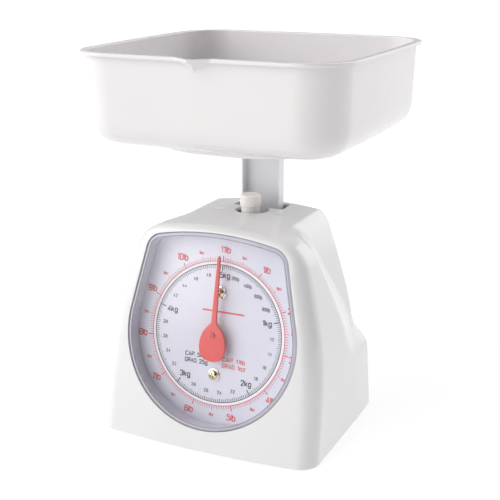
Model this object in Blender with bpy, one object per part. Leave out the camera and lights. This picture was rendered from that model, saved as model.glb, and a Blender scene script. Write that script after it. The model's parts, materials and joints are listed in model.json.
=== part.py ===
"""Mechanical dial platform scale: housing, dial movement, spring mechanism, column, platform and bowl.

Lengths are in millimetres and become metres when a mesh is made. +X is right, -Y is the front, +Z is up.
The origin is the centre of the bounding box at floor level.
"""

import math

import bmesh
import bpy
from mathutils import Matrix, Vector

MM = 0.001
GAP = 0.3  # clearance between pieces that touch

# Housing
HOUSING_BOTTOM = 1.2
WALL = 2.2
LEAN = math.radians(11.56)  # the front face and the dial lean back
FRONT_Y = -87.9  # front face at the base, on the centre line
FRONT_BULGE = 5.0  # how far the middle of the front stands ahead of its sides
BULGE_HALF_WIDTH = 75.0
REAR_Y_BASE, REAR_Y_TOP = 31.3, 24.2
CROWN_Z, CROWN_RADIUS = 140.5, 250.0
SIDE_HEIGHTS = (16, 32, 43, 48, 52, 56, 61, 70, 82, 95, 108)
FRONT_HALF = ((1.2, 76.0), (30, 75.4), (52, 74.2), (73, 71.8), (101, 65.5), (121, 60.0))
REAR_HALF = ((1.2, 74.0), (30, 73.6), (46, 72.9), (52, 69.6), (60, 62.8), (76, 60.0), (112, 50.3), (128, 44.5))
FRONT_CORNER = ((60.0, 121.0), (54.6, 134.3), 42.0)  # end of side, corner point, start of crown
REAR_CORNER = ((44.5, 128.0), (41.3, 135.0), 37.5)
EDGE_RADIUS_SIDE, EDGE_RADIUS_TOP = 11.0, 6.0  # rounding of the front face's edge
REAR_RADIUS = 6.0
SLOT_HALF, SLOT_Y, SLOT_CORNER = 18.0, (1.8, 16.8), 2.0  # the column's slot in the crown
KNOB_Y = -8.5
KNOB_HOLE_CENTRE, KNOB_HOLE_RADIUS = (0.6, -7.3), 10.9
CROWN_CUT = (CROWN_Z - 8, CROWN_Z + 4)
BOSS_RADIUS, SCREW_HOLE_RADIUS = 4.2, 1.8

# Dial, in the dial's own axes: u across, v up the lean, w towards the reader
DIAL_CENTRE = Vector((0.0, -59.1, 70.4))
WINDOW_RADIUS, WINDOW_CENTRE_V = 59.3, -1.1
WINDOW_SLANT = 12.1  # degrees that the sides lean in
WINDOW_CORNER_RADIUS = 12.0
WINDOW_TOP_V, WINDOW_TOP_RADIUS = 65.2, 190.0
FRONT_W = 14.4  # front face ahead of the dial on the centre line
COVER_GAP, COVER_WALL, COVER_SINK = 0.4, 1.5, 0.5  # the cover's front stands a little back from the housing's
FLANGE_REACH, FLANGE_W = 1.5, (6.6, 8.0)
DIAL_THICKNESS = 1.0
DIAL_SCREW_V = 26.7
SHAFT_RADIUS = 1.2
POINTER_TIP_V, POINTER_W = 50.5, (5.0, 7.0)
NEEDLE_HALF = (1.8, 0.95)  # where it leaves the counterweight, and near the tip
PADDLE_HALF, PADDLE_V, PADDLE_LOW = 9.15, -7.5, -17.2
PADDLE_POWER = 0.88  # under 1 squares the counterweight's round off a little

# Movement
FULL_TRAVEL = 20.0  # platform travel at full load, one turn of the pointer
TEETH = 10
RACK_TRAVEL = FULL_TRAVEL / math.cos(LEAN)
PITCH_RADIUS = RACK_TRAVEL / (2 * math.pi)
TOOTH_PITCH = RACK_TRAVEL / TEETH
ADDENDUM, DEDENDUM = 0.5, 0.85
TOOTH_ROOT_SHARE, TOOTH_TIP_SHARE = 0.26, 0.13  # half a tooth's width, as a share of the pitch
RACK_V, RACK_BACK, RACK_TEETH_BELOW, RACK_TEETH_ABOVE = (-32.7, 28.0), 4.6, 12, 2
RACK_W = (-16.0, -12.0)

# Frame, column and links
FRAME_HALF, FRAME_SHEET = 25.5, 1.5
FRAME_Z = (4.8, 118.0)
FRAME_REAR_Y = -1.0
FRAME_SCREW_PLACES = ((-15, -26), (15, -26))
COLUMN_HALF, COLUMN_Y, COLUMN_Z = 13.9, (6.6, 14.4), (30.0, 179.3)
COLUMN_SHEET = 1.5
PIN_RADIUS, PIN_CLEARANCE = 1.5, 0.35
PIVOT_Y, COLUMN_PIN_Y = -31.5, 10.5
LINK_LENGTH = COLUMN_PIN_Y - PIVOT_Y
LINK_HEIGHTS = {"upper": 94.0, "lower": 40.0}  # fixed pivots
LINK_RISE = FULL_TRAVEL / 2
LINK_HALF, LINK_SHEET = 21.0, 1.5
SPRING_X, SPRING_RADIUS, WIRE_RADIUS = 8.0, 4.4, 0.55
SPRING_TURNS, SPRING_COIL_Z = 16, (50.0, 94.0)
HANGER_Z, ARM_Z = (106.0, 109.0), (33.0, 35.0)

# Zero knob
KNOB_LOW, KNOB_HEAD_LOW, KNOB_TOP, KNOB_BORE_TOP = 131.5, 143.2, 151.0, 141.0
KNOB_COLLAR_RADIUS, KNOB_RADIUS, KNOB_TOP_RADIUS, KNOB_RIBS = 6.2, 7.0, 5.9, 24
KNOB_BORE_RADIUS = 2.3

# Platform and bowl
HEAD_HALF, HEAD_HALF_Y = 17.5, 9.0
PLATFORM_Z, PLATFORM_HALF, PLATFORM_RADIUS = (184.2, 190.0), 58.0, 44.0
PLATFORM_SCREW_X = 10.5
BOWL_CENTRE_Y = 2.5
BOWL_BOTTOM, BOWL_RIM = 190.4, 247.3
BOWL_HALF = 88.0  # outside of the wall just under the rim
BOWL_CORNER, BOWL_FOOT_RADIUS = 28.0, 16.0
BOWL_TAPER = math.tan(math.radians(1.7))
BOWL_WALL, RIM_REACH, RIM_DEPTH = 2.0, 3.2, 2.3
BOWL_BULGE = 1.2
LIP_HALF_WIDTH, LIP_REACH, LIP_DEPTH, LIP_DROP = 13.0, 6.4, 8.4, 0.5

# Feet and base
FOOT_PLACES = ((-57, -66), (57, -66), (-57, 16), (57, 16))
BOSS_PLACES = ((-65.5, -50), (65.5, -50), (-65.5, 2), (65.5, 2))
BASE_PLATE_Z = (1.7, 4.5)
HALF_AT_BOSS = 74.6  # where a rib from a boss ends, inside the side wall

# Colours
WHITE = (0.86, 0.86, 0.85)
LIGHT_GREY = (0.62, 0.62, 0.64)
RUBBER_GREY = (0.25, 0.25, 0.26)
STEEL = (0.6, 0.6, 0.6)
BRASS = (0.72, 0.56, 0.3)
CLEAR = (0.85, 0.86, 0.95)
DIAL_BLUE = (0.75, 0.75, 0.86)
CORAL = (0.75, 0.12, 0.1)
CORAL_DARK = (0.55, 0.1, 0.08)


# ---------------------------------------------------------------- mesh tools


def interpolate(points, at):
    """The value at `at` along a list of (position, value) points, straight between them."""
    for (a, low), (b, high) in zip(points, points[1:]):
        if at <= b:
            return low + (high - low) * (at - a) / (b - a)
    return points[-1][1]


def ease(t):
    t = min(max(t, 0.0), 1.0)
    return t * t * (3 - 2 * t)


def mix(a, b, t):
    return a + (b - a) * t


def make(name, bm, colour, parent=None, at=(0, 0, 0), roughness=0.35, metallic=0.0):
    """A named object from a bmesh in millimetres, with its own material."""
    bmesh.ops.recalc_face_normals(bm, faces=bm.faces)
    bmesh.ops.scale(bm, vec=(MM, MM, MM), verts=bm.verts)
    mesh = bpy.data.meshes.new(name)
    bm.to_mesh(mesh)
    bm.free()
    mesh.shade_smooth()
    mesh.set_sharp_from_angle(angle=math.radians(35))
    material = bpy.data.materials.new(name)
    material.use_nodes = True
    shader = material.node_tree.nodes["Principled BSDF"]
    shader.inputs["Base Color"].default_value = (*colour, 1)
    shader.inputs["Roughness"].default_value = roughness
    shader.inputs["Metallic"].default_value = metallic
    mesh.materials.append(material)
    obj = bpy.data.objects.new(name, mesh)
    bpy.context.scene.collection.objects.link(obj)
    obj.parent = parent
    obj.location = Vector(at) * MM
    return obj


def empty(name, at, rotation=(0, 0, 0)):
    """An axis that moving pieces are parented to."""
    obj = bpy.data.objects.new(name, None)
    bpy.context.scene.collection.objects.link(obj)
    obj.location = Vector(at) * MM
    obj.rotation_euler = rotation
    return obj


def combine(obj, operation, bm, parent=None):
    """Cuts a helper solid from obj, or joins it on, with an exact Boolean."""
    helper = make(f"{obj.name}_{operation.lower()}_{len(obj.modifiers)}", bm, WHITE, parent)
    helper.hide_render = True
    helper.display_type = "WIRE"
    modifier = obj.modifiers.new(operation, "BOOLEAN")
    modifier.operation = operation
    modifier.object = helper


def loft(rings):
    """A closed solid through rings of equal length, with a flat face on each end ring."""
    bm = bmesh.new()
    rows = [[bm.verts.new(point) for point in ring] for ring in rings]
    count = len(rows[0])
    for low, high in zip(rows, rows[1:]):
        for i in range(count):
            bm.faces.new((low[i], low[(i + 1) % count], high[(i + 1) % count], high[i]))
    bm.faces.new(rows[0])
    bm.faces.new(rows[-1])
    return bm


def prism(outline, low, high):
    return loft([[(x, y, z) for x, y in outline] for z in (low, high)])


def block(low, high):
    (x0, y0, z0), (x1, y1, z1) = low, high
    return prism(((x0, y0), (x1, y0), (x1, y1), (x0, y1)), z0, z1)


def circle(radius, sides, centre=(0, 0)):
    angles = [2 * math.pi * i / sides for i in range(sides)]
    return [(centre[0] + radius * math.cos(a), centre[1] + radius * math.sin(a)) for a in angles]


def turned(profile, sides, centre=(0, 0)):
    """A solid turned about the vertical through `centre`: profile lists (radius, height)."""
    return loft([[(x, y, z) for x, y in circle(radius, sides, centre)] for radius, z in profile])


def screw_hole(low, high, centre):
    return turned(((SCREW_HOLE_RADIUS, low), (SCREW_HOLE_RADIUS, high)), 12, centre)


def rod_x(radius, half_length, sides, centre):
    """A rod along X with its middle at centre."""
    bm = turned(((radius, -half_length), (radius, half_length)), sides)
    bmesh.ops.rotate(bm, matrix=Matrix.Rotation(math.pi / 2, 3, "Y"), verts=bm.verts)
    bmesh.ops.translate(bm, vec=centre, verts=bm.verts)
    return bm


def rounded_rectangle(half_x, half_y, radius, corner_steps, centre=(0, 0)):
    outline = []
    for quarter, (sx, sy) in enumerate(((1, 1), (-1, 1), (-1, -1), (1, -1))):
        for step in range(corner_steps + 1):
            angle = math.pi / 2 * (quarter + step / corner_steps)
            outline.append(
                (
                    centre[0] + sx * (half_x - radius) + radius * math.cos(angle),
                    centre[1] + sy * (half_y - radius) + radius * math.sin(angle),
                )
            )
    return outline


def fill_between(bm, left, right, columns, place):
    """Rows of faces between two matching lists of vertices, which may start or end in a shared one.
    place turns a point of the straight line between two of them into the point wanted."""
    rows = []
    for a, b in zip(left, right):
        if a is b:
            rows.append([a] * (columns + 1))
            continue
        inner = [bm.verts.new(place(a.co.lerp(b.co, i / columns))) for i in range(1, columns)]
        rows.append([a, *inner, b])
    for low, high in zip(rows, rows[1:]):
        for i in range(columns):
            corners = dict.fromkeys((low[i], low[i + 1], high[i + 1], high[i]))
            bm.faces.new(list(corners))


# ---------------------------------------------------------------- housing


def crown_z(x, inset=0.0):
    return CROWN_Z - inset - x * x / (2 * CROWN_RADIUS)


def front_y(x, z):
    bulge = FRONT_BULGE * (x / BULGE_HALF_WIDTH) ** 2
    return FRONT_Y + (z - HOUSING_BOTTOM) * math.tan(LEAN) + bulge


def rear_y(z):
    return mix(REAR_Y_BASE, REAR_Y_TOP, z / CROWN_Z)


def half_arch(half_widths, corner, inset, bottom):
    """Right half of a cross-section, from the bottom of the side to the middle of the crown."""
    side_end, control, crown_start = corner
    points = [(interpolate(half_widths, max(z, HOUSING_BOTTOM)), z) for z in (bottom, *SIDE_HEIGHTS)]
    end = (crown_start, crown_z(crown_start))
    for t in (0, 0.25, 0.5, 0.75, 1):
        points.append(
            tuple(mix(mix(a, c, t), mix(c, b, t), t) for a, c, b in zip(side_end, control, end))
        )
    points += [(crown_start * t, crown_z(crown_start * t)) for t in (0.66, 0.33, 0)]
    return [(x - nx * inset, z - nz * inset) for (x, z), (nx, nz) in zip(points, normals(points))]


def normals(points):
    """Outward normals of a half cross-section; the ends stay level and upright."""
    found = [(1.0, 0.0)]
    for before, after in zip(points, points[2:]):
        dx, dz = after[0] - before[0], after[1] - before[1]
        length = math.hypot(dx, dz)
        found.append((dz / length, -dx / length))
    return found + [(0.0, 1.0)]


def narrowing(y, z):
    """0 where the section is the front's, 1 where it is the rear's; it starts later lower down."""
    height = (z - 55) / 80
    start, end = mix(-18, -45, height), mix(27, -21, height)
    return ease((y - start) / (end - start))


def half_slices(inset, bottom):
    """Half cross-sections from front to rear, each a list of points from bottom to crown."""
    front = half_arch(FRONT_HALF, FRONT_CORNER, inset, bottom)
    rear = half_arch(REAR_HALF, REAR_CORNER, inset, bottom)
    out = normals(front)
    radii = [mix(EDGE_RADIUS_SIDE, EDGE_RADIUS_TOP, ease(abs(n[1]) * 1.3)) - inset for n in out]
    rear_radius = REAR_RADIUS - inset
    slices = []
    for angle in (0, 30, 60, 90):
        a = math.radians(angle)
        points = []
        for (x, z), (nx, nz), r in zip(front, out, radii):
            px, pz = x - nx * r * (1 - math.sin(a)), z - nz * r * (1 - math.sin(a))
            points.append((px, front_y(px, pz) + inset / math.cos(LEAN) + r * (1 - math.cos(a)), pz))
        slices.append(points)
    body_end = []
    for g in (1 / 6, 2 / 6, 3 / 6, 4 / 6, 5 / 6, 1):
        points = []
        for start, (fx, fz), (rx, rz) in zip(slices[3], front, rear):
            y = mix(start[1], rear_y(rz) - inset - rear_radius, g)
            s = narrowing(y, fz)
            points.append((mix(fx, rx, s), y, mix(fz, rz, s)))
        slices.append(points)
        body_end = points
    for angle in (45, 90):
        a = math.radians(angle)
        points = []
        for (x, y, z), (nx, nz) in zip(body_end, normals([(x, z) for x, _, z in body_end])):
            drop = rear_radius * (1 - math.cos(a)) * (1 if z < 120 else 0.4)
            points.append((x - nx * drop, y + rear_radius * math.sin(a), z - nz * drop))
        slices.append(points)
    return slices


def housing_solid(inset, bottom):
    """The housing's outer solid, or with an inset the hollow inside it."""
    bm = bmesh.new()
    columns = []
    for points in half_slices(inset, bottom):
        right = [bm.verts.new(point) for point in points]
        left = [bm.verts.new((-x, y, z)) for x, y, z in points[:-1]] + [right[-1]]
        columns.append((left, right))
    for (left_a, right_a), (left_b, right_b) in zip(columns, columns[1:]):
        for side_a, side_b in ((left_a, left_b), (right_a, right_b)):
            for i in range(len(side_a) - 1):
                bm.faces.new((side_a[i], side_a[i + 1], side_b[i + 1], side_b[i]))
    shift = inset / math.cos(LEAN)
    fill_between(bm, *columns[0], 8, lambda p: (p.x, front_y(p.x, p.z) + shift, p.z))
    fill_between(bm, *columns[-1], 2, lambda p: (p.x, rear_y(p.z) - inset, p.z))
    bmesh.ops.holes_fill(bm, edges=[e for e in bm.edges if e.is_boundary])
    return bm


def arc(centre, radius, start, end, steps):
    """Points along an arc, with angles in degrees, ends included."""
    angles = [math.radians(mix(start, end, i / steps)) for i in range(steps + 1)]
    return [(centre[0] + radius * math.cos(a), centre[1] + radius * math.sin(a)) for a in angles]


def window_corner():
    """Centre of the window's upper corner arc, and the angle at which it runs into the top arc."""
    slant = math.radians(WINDOW_SLANT)
    out, along = Vector((math.cos(slant), math.sin(slant))), Vector((-math.sin(slant), math.cos(slant)))
    top_centre = Vector((0, WINDOW_TOP_V - WINDOW_TOP_RADIUS))
    start = Vector((0, WINDOW_CENTRE_V)) + out * (WINDOW_RADIUS - WINDOW_CORNER_RADIUS) - top_centre
    reach = WINDOW_TOP_RADIUS - WINDOW_CORNER_RADIUS
    half = start.dot(along)
    corner = start + along * (math.sqrt(half * half - start.dot(start) + reach * reach) - half)
    return corner + top_centre, math.degrees(math.atan2(corner.y, corner.x))


def window_outline(offset):
    """Right half of the window's outline from bottom to top, in the dial's (u, v), grown by offset:
    a round bottom, sides that slant in from it, rounded corners and a shallow arc on top."""
    corner, top_angle = window_corner()
    points = arc((0, WINDOW_CENTRE_V), WINDOW_RADIUS + offset, -90, WINDOW_SLANT, 11)
    points += arc(corner, WINDOW_CORNER_RADIUS + offset, WINDOW_SLANT, top_angle, 4)
    top_centre = (0, WINDOW_TOP_V - WINDOW_TOP_RADIUS)
    points += arc(top_centre, WINDOW_TOP_RADIUS + offset, top_angle, 90, 3)[1:]
    points[0], points[-1] = (0.0, points[0][1]), (0.0, points[-1][1])
    return points


def full_outline(half):
    return [*half, *[(-u, v) for u, v in half[-2:0:-1]]]


def housing(dial_axis):
    obj = make("housing", housing_solid(0.0, HOUSING_BOTTOM), WHITE)
    combine(obj, "DIFFERENCE", housing_solid(WALL, HOUSING_BOTTOM - 4))
    for x, y in BOSS_PLACES:
        rib_end = math.copysign(HALF_AT_BOSS, x)
        low, high = (min(x, rib_end), y - 1.2, 5.2), (max(x, rib_end), y + 1.2, 18.6)
        combine(obj, "UNION", turned(((BOSS_RADIUS, 4.8), (BOSS_RADIUS, 20)), 12, (x, y)))
        combine(obj, "UNION", block(low, high))
    for x, y in BOSS_PLACES:
        combine(obj, "DIFFERENCE", screw_hole(4.0, 17.5, (x, y)))
    combine(obj, "DIFFERENCE", prism(full_outline(window_outline(0)), 6.0, 22.0), dial_axis)
    slot = rounded_rectangle(SLOT_HALF, (SLOT_Y[1] - SLOT_Y[0]) / 2, SLOT_CORNER, 3, (0, sum(SLOT_Y) / 2))
    for opening in (slot, circle(KNOB_HOLE_RADIUS, 28, KNOB_HOLE_CENTRE)):
        combine(obj, "DIFFERENCE", prism(opening, *CROWN_CUT))


def base_plate():
    middle, front, rear = FRONT_Y + WALL + 2.6, FRONT_Y + WALL + 5.8, REAR_Y_BASE - WALL - 0.6
    half, tail = FRONT_HALF[0][1] - WALL - 2.2, REAR_HALF[0][1] - WALL - 0.6
    front_radius, rear_radius = 9.0, 6.0
    outline = arc((half - front_radius, front + front_radius), front_radius, -90, 0, 3)
    outline += arc((tail - rear_radius, rear - rear_radius), rear_radius, 0, 90, 3)
    outline += arc((rear_radius - tail, rear - rear_radius), rear_radius, 90, 180, 3)
    outline += arc((front_radius - half, front + front_radius), front_radius, 180, 270, 3)
    outline.append((0, middle))
    low, high = BASE_PLATE_Z
    obj = make("base_plate", prism(outline, low, high), LIGHT_GREY, roughness=0.5)
    for x, y in BOSS_PLACES:
        combine(obj, "DIFFERENCE", turned(((4.0, low - 1), (4.0, low + 1.7)), 12, (x, y)))
        combine(obj, "DIFFERENCE", screw_hole(low, high + 1, (x, y)))
    for x, y in FOOT_PLACES:
        combine(obj, "DIFFERENCE", turned(((2.8, low - 1), (2.8, high + 1)), 12, (x, y)))
    for place in FRAME_SCREW_PLACES:
        combine(obj, "DIFFERENCE", screw_hole(low - 1, high + 1, place))


def feet_and_base_screws():
    sides = ("front_left", "front_right", "rear_left", "rear_right")
    for side, (x, y), (bx, by) in zip(sides, FOOT_PLACES, BOSS_PLACES):
        foot = turned(((6.4, 0), (7.0, 0.6), (7.0, 1.4), (2.5, 1.4), (2.5, 6.0), (1.8, 7.0)), 16)
        make(f"foot_{side}", foot, RUBBER_GREY, at=(x, y, 0), roughness=0.8)
        screw = turned(((3.0, 1.9), (3.3, 2.3), (3.3, 3.1), (1.5, 3.1), (1.5, 14.0), (0.6, 15.5)), 12)
        make(f"base_screw_{side}", screw, STEEL, at=(bx, by, 0), roughness=0.3, metallic=1)


# ---------------------------------------------------------------- dial and pointer


def dial_window(dial_axis):
    """A clear tray: curved front, straight side wall, and a flange behind the housing's edge."""

    def front_w(u):
        return FRONT_W - COVER_SINK - FRONT_BULGE * math.cos(LEAN) * (u / BULGE_HALF_WIDTH) ** 2

    (flange_low, flange_high), outside, inside = FLANGE_W, -COVER_GAP, -COVER_GAP - COVER_WALL
    outer_steps = ((outside, None), (outside, flange_high), (FLANGE_REACH, flange_high))
    outer_steps += ((FLANGE_REACH, flange_low), (outside, flange_low), (outside, GAP))
    inner_steps = ((inside, GAP), (inside, None))
    bm = bmesh.new()
    rings = []
    for steps, depth in ((outer_steps, 0.0), (inner_steps, COVER_WALL)):
        for offset, w in steps:
            half = window_outline(offset)
            right = [bm.verts.new((u, v, front_w(u) - depth if w is None else w)) for u, v in half]
            left = [bm.verts.new((-p.co.x, p.co.y, p.co.z)) for p in right[1:-1]]
            rings.append(right + left[::-1])
    count = len(rings[0])
    for a, b in zip(rings, rings[1:]):
        for i in range(count):
            bm.faces.new((a[i], a[(i + 1) % count], b[(i + 1) % count], b[i]))
    for ring, depth in ((rings[0], 0.0), (rings[-1], COVER_WALL)):
        half = len(window_outline(0))
        right = ring[:half]
        left = [ring[0], *ring[: half - 1 : -1], ring[half - 1]]
        fill_between(bm, left, right, 6, lambda p, d=depth: (p.x, p.y, front_w(p.x) - d))
    make("dial_window", bm, CLEAR, dial_axis, roughness=0.05)


def dial_plate(dial_axis):
    plate = prism(full_outline(window_outline(1.0)), -DIAL_THICKNESS, 0)
    obj = make("dial_plate", plate, DIAL_BLUE, dial_axis, roughness=0.4)
    for v, r in ((DIAL_SCREW_V, 1.9), (-DIAL_SCREW_V, 1.9), (0, 2.6)):
        combine(obj, "DIFFERENCE", turned(((r, -3), (r, 2)), 14, (0, v)), dial_axis)


def dial_fasteners(dial_axis):
    for side, v in (("upper", DIAL_SCREW_V), ("lower", -DIAL_SCREW_V)):
        washer = make(
            f"dial_washer_{side}", turned(((4.1, 0.3), (4.1, 0.8)), 20), STEEL, dial_axis, (0, v, 0),
            roughness=0.3, metallic=1,
        )
        combine(washer, "DIFFERENCE", turned(((1.9, -1), (1.9, 2)), 12, (0, v)), dial_axis)
        head = ((1.2, -6.8), (1.5, -6.2), (1.5, 1.1), (3.3, 1.1), (3.3, 2.0), (2.5, 2.7), (1.2, 3.0))
        make(f"dial_screw_{side}", turned(head, 16), STEEL, dial_axis, (0, v, 0), 0.3, 1)
        post = make(
            f"dial_post_{side}", turned(((3.5, -7.7), (3.5, -1.3)), 14), STEEL, dial_axis, (0, v, 0),
            roughness=0.4, metallic=1,
        )
        combine(post, "DIFFERENCE", screw_hole(-7.2, 0, (0, v)), dial_axis)


def pointer(dial_axis):
    """A tapering needle on a pear-shaped counterweight."""
    half = [(0.0, PADDLE_LOW)]
    for angle in (-65, -45, -25, 0):
        a = math.radians(angle)
        out, down = math.cos(a) ** PADDLE_POWER, math.sin(-a) ** PADDLE_POWER
        half.append((PADDLE_HALF * out, mix(PADDLE_V, PADDLE_LOW, down)))
    half += [(8.5, -2.4), (7.0, 2.4), (4.6, 6.2), (NEEDLE_HALF[0], 8.1)]
    half += [(NEEDLE_HALF[1], POINTER_TIP_V - 1.2), (0.0, POINTER_TIP_V)]
    obj = make("pointer", prism(full_outline(half), *POINTER_W), CORAL, dial_axis)
    combine(obj, "DIFFERENCE", turned(((1.5, 4), (1.5, 8)), 12), dial_axis)
    rivet = turned(((1.7, 7.3), (1.7, 7.7), (1.0, 8.1)), 14)
    make("pointer_rivet", rivet, CORAL_DARK, dial_axis)
    shaft = turned(((SHAFT_RADIUS, -22.5), (SHAFT_RADIUS, 6.9)), 12)
    make("pointer_shaft", shaft, STEEL, dial_axis, roughness=0.3, metallic=1)


def tooth(pitch_line, middle, pitch):
    """A tooth's four corners: (distance from the axis, position along the pitch line)."""
    root, tip = TOOTH_ROOT_SHARE * pitch, TOOTH_TIP_SHARE * pitch
    return (
        (pitch_line - DEDENDUM, middle - root),
        (pitch_line + ADDENDUM, middle - tip),
        (pitch_line + ADDENDUM, middle + tip),
        (pitch_line - DEDENDUM, middle + root),
    )


def pinion(dial_axis):
    step = 2 * math.pi / TEETH
    outline = []
    for i in range(TEETH):
        for r, a in tooth(PITCH_RADIUS, step * (i + 0.5), step):
            outline.append((r * math.cos(a), r * math.sin(a)))
    obj = make("pinion", prism(outline, RACK_W[0] - 0.5, RACK_W[1] + 0.5), BRASS, dial_axis, metallic=1)
    bore = SHAFT_RADIUS + GAP
    combine(obj, "DIFFERENCE", turned(((bore, -20), (bore, -8)), 12), dial_axis)


def rack(dial_axis):
    """Teeth face the pinion from its right side and reach up by one full travel."""
    (low, high), back = RACK_V, PITCH_RADIUS + RACK_BACK
    outline = [(back, low), (back, high), (PITCH_RADIUS + DEDENDUM, high)]
    for i in range(RACK_TEETH_BELOW, -RACK_TEETH_ABOVE - 1, -1):
        outline += [(PITCH_RADIUS - r, -v) for r, v in tooth(0.0, -TOOTH_PITCH * i, TOOTH_PITCH)]
    outline.append((PITCH_RADIUS + DEDENDUM, low))
    make("rack", prism(outline, *RACK_W), BRASS, dial_axis, metallic=1)


# ---------------------------------------------------------------- movement and frame


def movement(dial_axis):
    plate = make(
        "movement_plate", prism(rounded_rectangle(26, 34, 3, 2, (0, 2)), -9.5, -8.0), STEEL, dial_axis,
        roughness=0.45, metallic=1,
    )
    combine(plate, "DIFFERENCE", turned(((4.3, -12), (4.3, -6)), 16), dial_axis)
    bushing = make("shaft_bushing", turned(((4.0, -9.9), (4.0, -7.6)), 16), BRASS, dial_axis, metallic=1)
    bore = SHAFT_RADIUS + GAP
    combine(bushing, "DIFFERENCE", turned(((bore, -12), (bore, -6)), 12), dial_axis)
    rear = make(
        "rear_bearing_plate", prism(rounded_rectangle(17.5, 8, 2, 2), -21.3, -19.8), STEEL, dial_axis,
        roughness=0.45, metallic=1,
    )
    combine(rear, "DIFFERENCE", turned(((bore, -24), (bore, -17)), 12), dial_axis)
    for side, u in (("left", -14), ("right", 14)):
        spacer = turned(((2.5, -19.5), (2.5, -9.8)), 12)
        make(f"bearing_spacer_{side}", spacer, STEEL, dial_axis, (u, 0, 0), roughness=0.4, metallic=1)
    guide = block((PITCH_RADIUS + 4.9, -5, -19.5), (PITCH_RADIUS + 7.5, 5, -9.8))
    make("rack_guide", guide, LIGHT_GREY, dial_axis)


def mechanism_frame(dial_axis):
    """A folded sheet tube around the springs, cut off in front along the movement plate."""
    (low, high), sheet = FRAME_Z, FRAME_SHEET
    frame = block((-FRAME_HALF, -72, low), (FRAME_HALF, FRAME_REAR_Y, high))
    obj = make("mechanism_frame", frame, STEEL, roughness=0.45, metallic=1)
    inner = FRAME_HALF - sheet
    combine(obj, "DIFFERENCE", block((-inner, -80, low + sheet), (inner, 10, high - sheet)))
    combine(obj, "DIFFERENCE", block((-40, -80, -9.8), (40, 60, 40)), dial_axis)
    for height in LINK_HEIGHTS.values():
        radius = PIN_RADIUS + PIN_CLEARANCE
        combine(obj, "DIFFERENCE", rod_x(radius, 40, 12, (0, PIVOT_Y, height)))
    combine(obj, "DIFFERENCE", turned(((2.5, high - 4), (2.5, high + 2)), 12, (0, KNOB_Y)))
    for side, (x, y) in zip(("left", "right"), FRAME_SCREW_PLACES):
        combine(obj, "DIFFERENCE", screw_hole(low - 1, low + 3, (x, y)))
        screw = turned(((1.5, 2.2), (1.5, 6.6), (3.2, 6.6), (3.2, 7.8), (2.2, 8.8)), 12)
        make(f"frame_screw_{side}", screw, STEEL, at=(x, y, 0), roughness=0.3, metallic=1)


def link(name, pivot_z):
    """A U-shaped guide link: two arms joined by a web, sloping up to the column at rest."""
    angle = math.atan2(LINK_RISE, LINK_LENGTH)
    axis = empty(f"{name}_axis", (0, PIVOT_Y, pivot_z), (angle, 0, 0))
    outer, inner = LINK_HALF, LINK_HALF - LINK_SHEET
    plan = ((-outer, -4), (-inner, -4), (-inner, 6), (inner, 6), (inner, -4), (outer, -4))
    plan += ((outer, 47), (inner, 47), (inner, 7.5), (-inner, 7.5), (-inner, 47), (-outer, 47))
    obj = make(name, prism(plan, -3.5, 3.5), STEEL, axis, roughness=0.45, metallic=1)
    radius = PIN_RADIUS + PIN_CLEARANCE
    combine(obj, "DIFFERENCE", rod_x(radius, 30, 12, (0, 0, 0)), axis)
    near, far = LINK_LENGTH, math.hypot(LINK_LENGTH, LINK_RISE)
    slot = arc((near - GAP, 0), radius, 90, 270, 6) + arc((far + GAP, 0), radius, 270, 450, 6)
    combine(obj, "DIFFERENCE", loft([[(x, y, z) for y, z in slot] for x in (-30, 30)]), axis)
    pin = rod_x(PIN_RADIUS, 26.6, 12, (0, 0, 0))
    make(name.replace("link", "pivot_pin"), pin, STEEL, at=(0, PIVOT_Y, pivot_z), roughness=0.3, metallic=1)


def spring(name, x):
    """A close coil with a hook at each end, drawn as one swept wire."""
    low, high = SPRING_COIL_Z
    route = [(x, KNOB_Y, ARM_Z[0] - 1.2), (x, KNOB_Y, low - 5)]
    steps = 8
    for i in range(SPRING_TURNS * steps + 1):
        a = 2 * math.pi * i / steps
        z = mix(low, high, i / (SPRING_TURNS * steps))
        route.append((x + SPRING_RADIUS * math.cos(a), KNOB_Y + SPRING_RADIUS * math.sin(a), z))
    route += [(x, KNOB_Y, high + 5), (x, KNOB_Y, HANGER_Z[1] + 1.2)]
    curve = bpy.data.curves.new(name, "CURVE")
    curve.dimensions = "3D"
    curve.bevel_depth = WIRE_RADIUS * MM
    curve.bevel_resolution = 0
    curve.use_fill_caps = True
    line = curve.splines.new("POLY")
    line.points.add(len(route) - 1)
    for point, place in zip(line.points, route):
        point.co = (*(Vector(place) * MM), 1)
    obj = bpy.data.objects.new(name, curve)
    bpy.context.scene.collection.objects.link(obj)


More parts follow.
